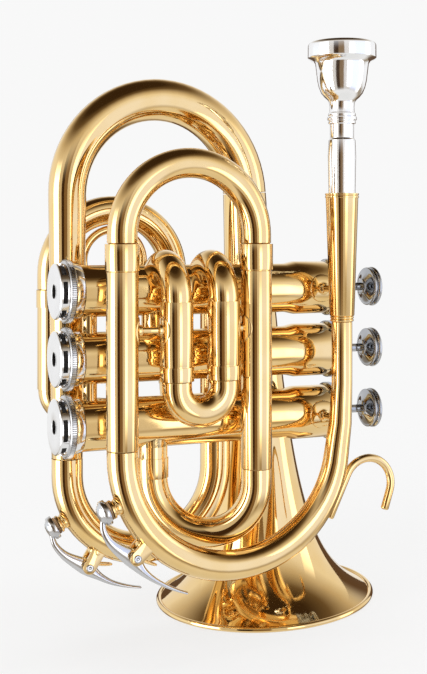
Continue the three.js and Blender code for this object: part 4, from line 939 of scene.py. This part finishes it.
# %% Points round a bow
class KeyPlace:
    def __init__(self, centre, out, bow_outside, cup, pivot, tip, pivot_height):
        self.centre, self.out, self.bow_outside = Vector(centre), Vector(out).normalized(), bow_outside
        self.across = self.out.cross(-Z).normalized()
        self.cup, self.pivot, self.tip = (math.radians(a) for a in (cup, pivot, tip))
        self.pivot_height = pivot_height

    def away(self, angle):
        return self.out * math.cos(angle) - Z * math.sin(angle)

    def spot(self, angle, height, aside=0.0):
        return self.centre + self.away(angle) * (self.bow_outside + height) + self.across * aside

    def near_pivot(self, run, height, aside=0.0):
        around = self.away(self.pivot + math.pi / 2)
        return self.spot(self.pivot, height, aside) + around * run


# %% A smooth line through points
SPAN_POINTS = 6


def smooth_line(points):
    points = [Vector(point) for point in points]
    ends = [points[0] * 2 - points[1]] + points + [points[-1] * 2 - points[-2]]
    line = []
    for a, b, c, d in zip(ends, ends[1:], ends[2:], ends[3:]):
        for i in range(SPAN_POINTS):
            t = i / SPAN_POINTS
            line.append(0.5 * (2 * b + (c - a) * t + (2 * a - 5 * b + 4 * c - d) * t * t
                               + (3 * b - a - 3 * c + d) * t ** 3))
    return line + [points[-1]]


# %% Lever
# Each row gives the share of the way from cup to tip, then height and thickness as shares.
LEVER_HEIGHT, LEVER_THICKNESS, LEVER_WIDTH = 7, 4.4, 3.2
LEAD_LEVER = [(0.0, 0.86, 0.34), (0.05, 0.95, 0.44), (0.12, 1.12, 0.56), (0.22, 1.12, 0.78),
              (0.33, 0.94, 1.16), (0.40, 0.80, 1.4), (0.45, 0.76, 1.42), (0.50, 0.80, 1.2),
              (0.58, 0.88, 0.76), (0.7, 0.9, 0.48), (0.84, 0.88, 0.34), (1, 0.86, 0.24)]
TAIL_LEVER = [(0.0, 0.86, 0.34), (0.06, 0.98, 0.44), (0.14, 1.12, 0.56), (0.25, 1.12, 0.78),
              (0.37, 1.0, 1.16), (0.44, 0.94, 1.4), (0.49, 0.94, 1.42), (0.54, 1.0, 1.2),
              (0.62, 1.1, 0.76), (0.74, 1.24, 0.48), (0.88, 1.34, 0.34), (1, 1.43, 0.24)]
HUB_SHARE, HUB_SPREAD, SLIM, PAD_START, PAD_LENGTH = 0.45, 0.3, 0.62, 0.8, 0.2


def lever_width(share):
    hub = math.exp(-((share - HUB_SHARE) / HUB_SPREAD) ** 2)
    pad = 1 + 0.35 * max(0, share - PAD_START) / PAD_LENGTH
    return LEVER_WIDTH * (SLIM + (1 - SLIM) * hub) * pad


def lever_rings(key, table):
    line = smooth_line(table)
    points = [key.spot(key.cup + (key.tip - key.cup) * share.x, LEVER_HEIGHT * share.y) for share in line]
    rings = []
    for k, (point, share) in enumerate(zip(points, line)):
        heading = (points[min(k + 1, len(points) - 1)] - points[max(k - 1, 0)]).normalized()
        over = heading.cross(key.across).normalized()
        place = Matrix((key.across, over, heading)).transposed().to_4x4()
        place.translation = point
        size = Matrix.Diagonal((lever_width(share.x) / 2, LEVER_THICKNESS * share.z / 2, 1, 1))
        rings.append((place @ size, 1))
    for end, step in ((0, -1), (-1, 1)):
        place, radius = rings[end]
        tip = place @ Matrix.Translation((0, 0, 0.35 * step)) @ Matrix.Diagonal((0.6, 0.6, 1, 1))
        rings = [(tip, radius)] + rings if step < 0 else rings + [(tip, radius)]
    return rings


def add_lever(name, key, table):
    bm = bmesh.new()
    draw_rings(bm, lever_rings(key, table), 28)
    cup = [(0, 1), (3.8, 1), (3.8, 0), (4.7, 0), (4.7, 1.7), (4.5, 2.0), (3.9, 2.2), (3.6, 2.6),
           (2.9, 3.3), (1.8, 3.8), (0, 4)]
    spin_profile(bm, cup, axis_place(key.spot(key.cup, 3.7), key.away(key.cup)), 48)
    hub = [(1.2, -2), (1.9, -2), (1.9, -1.5), (1.65, -1.3), (1.65, 1.3), (1.9, 1.5), (1.9, 2),
           (1.2, 2), (1.2, -2)]
    spin_profile(bm, hub, axis_place(key.spot(key.pivot, key.pivot_height), key.across), 40)
    # The lever takes the darker silver, which paints grey shade on it.
    finish_piece(bm, name + "_lever_forged", name, "silver_plate", [name + "_lever"], corner=0.1,
                 finish=painted_shade_silver)


# %% Saddle
LUG_RADIUS, LUG_THICKNESS, LUG_ASIDE, LUG_SINK = 2.7, 1.5, 3.05, 1.2


def add_lug(bm, key, aside):
    pivot = key.spot(key.pivot, key.pivot_height, aside)
    outwards = key.away(key.pivot)
    place = axis_place(pivot - key.across * (LUG_THICKNESS / 2), key.across)
    disc = [(0, 0), (LUG_RADIUS, 0), (LUG_RADIUS, LUG_THICKNESS), (0, LUG_THICKNESS)]
    for vert in spin_profile(bm, disc, place, 40):
        if (vert.co - pivot).dot(outwards) < -0.01 and (vert.co - pivot).length > 0.8:
            vert.co -= outwards * (key.pivot_height + LUG_SINK)


def add_saddle(name, key):
    bm = bmesh.new()
    for aside in (-LUG_ASIDE, LUG_ASIDE):
        add_lug(bm, key, aside)
    base = [(0, -1.6), (3.5, -1.6), (3.5, 0.2), (3.1, 0.8), (2.4, 1.3), (0, 1.5)]
    spin_profile(bm, base, axis_place(key.spot(key.pivot, 0), key.away(key.pivot)), 40)
    finish_piece(bm, name + "_saddle_bent", "trumpet", "gold_lacquer", [name + "_saddle"], corner=0.15)


# %% Wire spring
WIRE_RADIUS = 0.45


def wire_rings(points, radius):
    path = smooth_line(points)
    headings = [(q - p).normalized() for p, q in zip(path, path[1:])]
    headings.append(headings[-1])
    side = headings[0].orthogonal().normalized()
    rings = []
    for k, (point, heading) in enumerate(zip(path, headings)):
        mean = (heading + headings[max(k - 1, 0)]).normalized()
        side = (side - mean * side.dot(mean)).normalized()
        place = Matrix((side, mean.cross(side), mean)).transposed().to_4x4()
        place.translation = point
        rings.append((place, radius))
    first, last = rings[0][0], rings[-1][0]
    rings = [(first @ Matrix.Translation((0, 0, -0.6 * radius)), radius * 0.5)] + rings
    return rings + [(last @ Matrix.Translation((0, 0, 0.6 * radius)), radius * 0.5)]


def add_key_spring(name, key):
    half = [(3.4, 2.2, 1.2), (1.4, 2.15, 3.2), (3.6, 2.0, 3.0), (6.4, 1.5, 1.8), (8.2, 0.8, 0.9)]
    other = [(run, -aside, height) for run, aside, height in half[::-1]]
    points = [key.near_pivot(run, height, aside) for run, aside, height in half[1:] + other[:-1]]
    bm = bmesh.new()
    draw_rings(bm, wire_rings(points, WIRE_RADIUS), 12)
    finish_piece(bm, name + "_wire_spring", "trumpet", "gold_lacquer", (), corner=0)


# %% Both water keys
# A place takes the centre of the bow, the way out of it and its outside radius, the angles of cup,
# pivot and tip in degrees, measured down from that way, and the height of the pivot over the tube.
def add_water_key(name, key, table):
    add_lever(name, key, table)
    add_saddle(name, key)
    add_key_spring(name, key)
    nipple = [(1.2, -1.2), (3.3, -1.2), (3.3, 0.1), (2.9, 0.4), (2.8, 1.0), (3.5, 1.4), (3.6, 2.2),
              (1.2, 2.2), (1.2, -1.2)]
    turned(name + "_nipple_turned", nipple, key.spot(key.cup, 0), key.away(key.cup), "trumpet",
           "gold_lacquer", [name + "_nipple"], steps=40, corner=0.08)
    turned(name + "_cork_cut", [(0, 0), (3.5, 0), (3.5, 1.9), (0, 1.9)], key.spot(key.cup, 2.5),
           key.away(key.cup), name, "cork", [name + "_cork"], steps=40, corner=0.2)
    screw = [(0, -3.8), (0.9, -3.8), (0.9, 3.7), (1.5, 3.7), (1.5, 4.1), (1.2, 4.35), (0.5, 4.35),
             (0.45, 4.1), (0, 4.1)]
    turned(name + "_screw_turned", screw, key.spot(key.pivot, key.pivot_height), key.across, "trumpet",
           "nickel", [name + "_screw"], steps=32, corner=0.06)


lead_place = KeyPlace((LEAD_BOW_X, FRONT_Y, LEAD_BOW_Z), -X, LEAD_BOW_RADIUS + LEAD_WIDE, 21.5, 43, 70, 4.2)
tail_place = KeyPlace(((BOW_X + TAIL_X) / 2, (BOW_Y + TAIL_Y) / 2, TAIL_BOW_Z), bow_out,
                      tail_bow_radius + TAIL_RADIUS, 28.8, 57.9, 88.6, 5.8)
add_water_key("lead_key", lead_place, LEAD_LEVER)
add_water_key("tail_key", tail_place, TAIL_LEVER)

# %% [markdown]
# ## Springs inside the valves
# A coil spring pushes each piston back when the finger lets go. The springs could be drawn again as
# swept wire, but they are hardly ever seen. So they stay as the frame has them, and only their
# material is exchanged for the finish of their slot.

# %% Springs
for node in frame["nodes"].values():
    if node.hide_render:
        continue
    slot_name = next(s["material_slot"] for s in frame["record"]["subparts"] if s["node"] == node.name)
    node.data.materials.clear()
    node.data.materials.append(FINISH_SLOTS[slot_name])
    print("kept", node.name, slot_name)

# %% [markdown]
# ## Studio
# Polished tube shows its surroundings as bands along its length, so the studio is arranged by angle
# round the instrument. A picture of a studio could be wrapped round the scene instead, but curved
# panels can be moved one by one. White panels on both sides give the pale bands, and a dark and a
# brown one behind the camera give the shaded band in the middle of each tube. Dark flags further
# back draw its edges. Only reflections see the panels, and each of them fades out above and below,
# so that no band ends in a hard line.

# %% Arithmetic in node trees
def math_node(tree, operation, *values):
    node = tree.nodes.new("ShaderNodeMath")
    node.operation = operation
    for socket, value in zip(node.inputs, values):
        if isinstance(value, (int, float)):
            socket.default_value = value
        else:
            tree.links.new(value, socket)
    return node.outputs["Value"]


def smooth_step(tree, value, start, end, low=0.0, high=1.0):
    node = tree.nodes.new("ShaderNodeMapRange")
    node.interpolation_type = "SMOOTHSTEP"
    for label, setting in (("From Min", start), ("From Max", end), ("To Min", low), ("To Max", high)):
        node.inputs[label].default_value = setting
    tree.links.new(value, node.inputs["Value"])
    return node.outputs["Result"]


def stage_piece(bm, name, material):
    mesh = bpy.data.meshes.new(name)
    bm.to_mesh(mesh)
    bm.free()
    mesh.materials.append(material)
    piece = bpy.data.objects.new(name, mesh)
    bpy.context.scene.collection.objects.link(piece)
    return piece


# %% Panels that reflections see
# Distance, half height and drop are in metres, angles in degrees to the right of the camera.
PANEL_DISTANCE, PANEL_TOP, PANEL_DROP, PANEL_STEP = 1.1, 1.1, 0.02, 6


def panel_material(name, colour, strength, reach):
    material, nodes, links, shader = new_material(name)
    nodes.remove(shader)
    glow = nodes.new("ShaderNodeEmission")
    glow.inputs["Color"].default_value = (*colour, 1)
    glow.inputs["Strength"].default_value = strength
    clear = nodes.new("ShaderNodeBsdfTransparent")
    place = nodes.new("ShaderNodeTexCoord")
    axes = nodes.new("ShaderNodeSeparateXYZ")
    links.new(place.outputs["Object"], axes.inputs["Vector"])
    lift = math_node(material.node_tree, "ADD", axes.outputs["Z"], PANEL_DROP)
    height = math_node(material.node_tree, "ABSOLUTE", lift)
    blend = nodes.new("ShaderNodeMixShader")
    links.new(smooth_step(material.node_tree, height, reach / 3, reach), blend.inputs["Fac"])
    links.new(glow.outputs["Emission"], blend.inputs[1])
    links.new(clear.outputs["BSDF"], blend.inputs[2])
    links.new(blend.outputs["Shader"], nodes["Material Output"].inputs["Surface"])
    return material


studio_panels = (
    ("soft_left", -82, -49, (1.0, 1.0, 1.0), 4.6, 0.80),
    ("glow_left", -120, -82, (0.95, 0.98, 1.0), 1.1, 0.80),
    ("step_left", -49, -30, (1.0, 0.93, 0.84), 0.68, 1.00),
    ("dark_middle", -30, -14, (1.0, 0.50, 0.22), 0.05, 1.05),
    ("brown_middle", -14, 5, (1.0, 0.65, 0.35), 0.24, 1.05),
    ("warm_middle", 5, 21, (1.0, 0.95, 0.90), 0.74, 0.90),
    ("soft_right", 21, 38, (1.0, 1.0, 1.0), 2.6, 0.60),
    ("glow_right", 38, 80, (0.74, 0.80, 1.0), 1.38, 0.80),
    ("edge_right", 80, 98, (1.0, 1.0, 1.0), 2.2, 0.80),
    ("flag_right", 138, 160, (1.0, 0.60, 0.35), 0.12, 0.80),
    ("flag_left", -172, -158, (1.0, 0.60, 0.35), 0.12, 0.80),
)


def add_panel(name, start, end, colour, strength, reach):
    bm = bmesh.new()
    lower = bm.verts.new((0, -PANEL_DISTANCE, -PANEL_TOP))
    upper = bm.verts.new((0, -PANEL_DISTANCE, PANEL_TOP))
    edge = bm.edges.new((lower, upper))
    to_start = Matrix.Rotation(math.radians(start), 3, "Z")
    bmesh.ops.rotate(bm, verts=bm.verts, cent=(0, 0, 0), matrix=to_start)
    bmesh.ops.spin(bm, geom=[lower, upper, edge], cent=(0, 0, 0), axis=(0, 0, 1), dvec=(0, 0, 0),
                   angle=math.radians(end - start), steps=max(2, round((end - start) / PANEL_STEP)),
                   use_merge=False, use_normal_flip=False, use_duplicate=False)
    bm.transform(Matrix.Rotation(CAMERA_TURN, 4, "Z"))
    panel = stage_piece(bm, name, panel_material(name, colour, strength, reach))
    panel.visible_camera = panel.visible_diffuse = panel.visible_shadow = False
    panel.visible_transmission = False


for panel in studio_panels:
    add_panel(*panel)
print(len(studio_panels), "panels")

# %% [markdown]
# ## Floor
# A product photograph stands on white card that seems to have no end. A large white sheet would
# need far more light than the instrument bears, so the floor is a small disc that glows for the
# camera and for reflections, is dull paint for the lamps' shadow, and fades out into the background.

# %% Floor that shows white but keeps the shadow
BACKGROUND = 0.94
FLOOR_PAINT, FLOOR_GLOW = 0.16, 0.75
FLOOR_RADIUS, FADE_START, FADE_END = 0.6, 0.10, 0.42


def floor_material():
    material, nodes, links, shader = new_material("studio_floor")
    shader.inputs["Base Color"].default_value = (FLOOR_PAINT, FLOOR_PAINT, FLOOR_PAINT, 1)
    shader.inputs["Roughness"].default_value = 0.9
    shader.inputs["Specular IOR Level"].default_value = 0
    shader.inputs["Emission Color"].default_value = (1, 1, 1, 1)
    rays = nodes.new("ShaderNodeLightPath")
    seen = math_node(material.node_tree, "MAXIMUM", rays.outputs["Is Camera Ray"],
                     rays.outputs["Is Glossy Ray"])
    level = math_node(material.node_tree, "MULTIPLY", seen, FLOOR_GLOW)
    links.new(level, shader.inputs["Emission Strength"])
    place = nodes.new("ShaderNodeTexCoord")
    reach = nodes.new("ShaderNodeVectorMath")
    reach.operation = "LENGTH"
    links.new(place.outputs["Object"], reach.inputs[0])
    fade = smooth_step(material.node_tree, reach.outputs["Value"], FADE_START, FADE_END, 1, 0)
    links.new(fade, shader.inputs["Alpha"])
    return material


disc = bmesh.new()
bmesh.ops.create_circle(disc, cap_ends=True, radius=FLOOR_RADIUS, segments=64)
floor = stage_piece(disc, "studio_floor", floor_material())
floor.visible_glossy = False
print("floor", round(2 * FLOOR_RADIUS, 2), "m across")

# %% [markdown]
# ## Lamps and world
# Three soft lamps light what is dull, such as cork, and cast the shadow; reflections don't see them.
# What a reflection sees beyond the panels is the world. It is pale at the level of the eye, has a
# brown band below that, and is nearly black overhead, as in a pale room with a dark ceiling. One
# white world would be simpler, but polished metal needs something dark to reflect. To the camera
# the world is plain white.

# %% Lamps
LAMP_AIM = Vector((0, 0, 0.1))


def soft_light(name, place, size, power):
    data = bpy.data.lights.new(name, "AREA")
    data.shape = "RECTANGLE"
    data.size, data.size_y = size
    data.energy = power
    light = bpy.data.objects.new(name, data)
    bpy.context.scene.collection.objects.link(light)
    light.location = place
    light.rotation_euler = (LAMP_AIM - Vector(place)).to_track_quat("-Z", "Y").to_euler()
    light.visible_glossy = False
    print(name, power, "W")


soft_light("lamp_left", (-1.3, -0.9, 1.1), (0.9, 1.4), 14)
soft_light("lamp_right", (1.4, -0.8, 0.9), (0.7, 1.2), 9)
soft_light("lamp_top", (0.1, 0.2, 1.7), (1.2, 1.2), 12)

# %% World
WORLD_LIGHT = 0.55
SKY = ((-0.72, (0.88, 0.87, 0.85)), (-0.52, (0.34, 0.27, 0.18)), (-0.36, (0.40, 0.34, 0.27)),
       (-0.16, (0.92, 0.92, 0.91)), (0, (0.94, 0.94, 0.94)), (0.40, (0.94, 0.94, 0.94)),
       (0.60, (0.62, 0.56, 0.48)), (0.78, (0.15, 0.105, 0.06)), (0.90, (0.045, 0.026, 0.012)))
world = bpy.data.worlds.new("studio")
bpy.context.scene.world = world
world.use_nodes = True
tree = world.node_tree
rays = tree.nodes.new("ShaderNodeLightPath")
camera_ray, glossy_ray = rays.outputs["Is Camera Ray"], rays.outputs["Is Glossy Ray"]
axes = tree.nodes.new("ShaderNodeSeparateXYZ")
tree.links.new(tree.nodes.new("ShaderNodeTexCoord").outputs["Generated"], axes.inputs["Vector"])
sky = tree.nodes.new("ShaderNodeValToRGB")
tree.links.new(math_node(tree, "MULTIPLY_ADD", axes.outputs["Z"], 0.5, 0.5), sky.inputs["Fac"])
floor_end, ceiling_end = sky.color_ramp.elements
floor_end.position, floor_end.color = 0.0, (0.80, 0.80, 0.78, 1)
ceiling_end.position, ceiling_end.color = 1.0, (0.04, 0.022, 0.010, 1)
for height, colour in SKY:
    sky.color_ramp.elements.new((height + 1) / 2).color = (*colour, 1)
tone = tree.nodes.new("ShaderNodeMix")
tone.data_type = "RGBA"
tone.inputs["A"].default_value = (1, 1, 1, 1)
tree.links.new(glossy_ray, tone.inputs["Factor"])
tree.links.new(sky.outputs["Color"], tone.inputs["B"])
background = tree.nodes["Background"]
tree.links.new(tone.outputs["Result"], background.inputs["Color"])
seen = math_node(tree, "ADD", math_node(tree, "MULTIPLY", camera_ray, BACKGROUND), glossy_ray)
unseen = math_node(tree, "SUBTRACT", 1, math_node(tree, "MAXIMUM", camera_ray, glossy_ray))
strength = math_node(tree, "ADD", seen, math_node(tree, "MULTIPLY", unseen, WORLD_LIGHT))
tree.links.new(strength, background.inputs["Strength"])
bpy.context.scene.view_settings.view_transform = "Standard"
print("world with", len(sky.color_ramp.elements), "heights of tone")
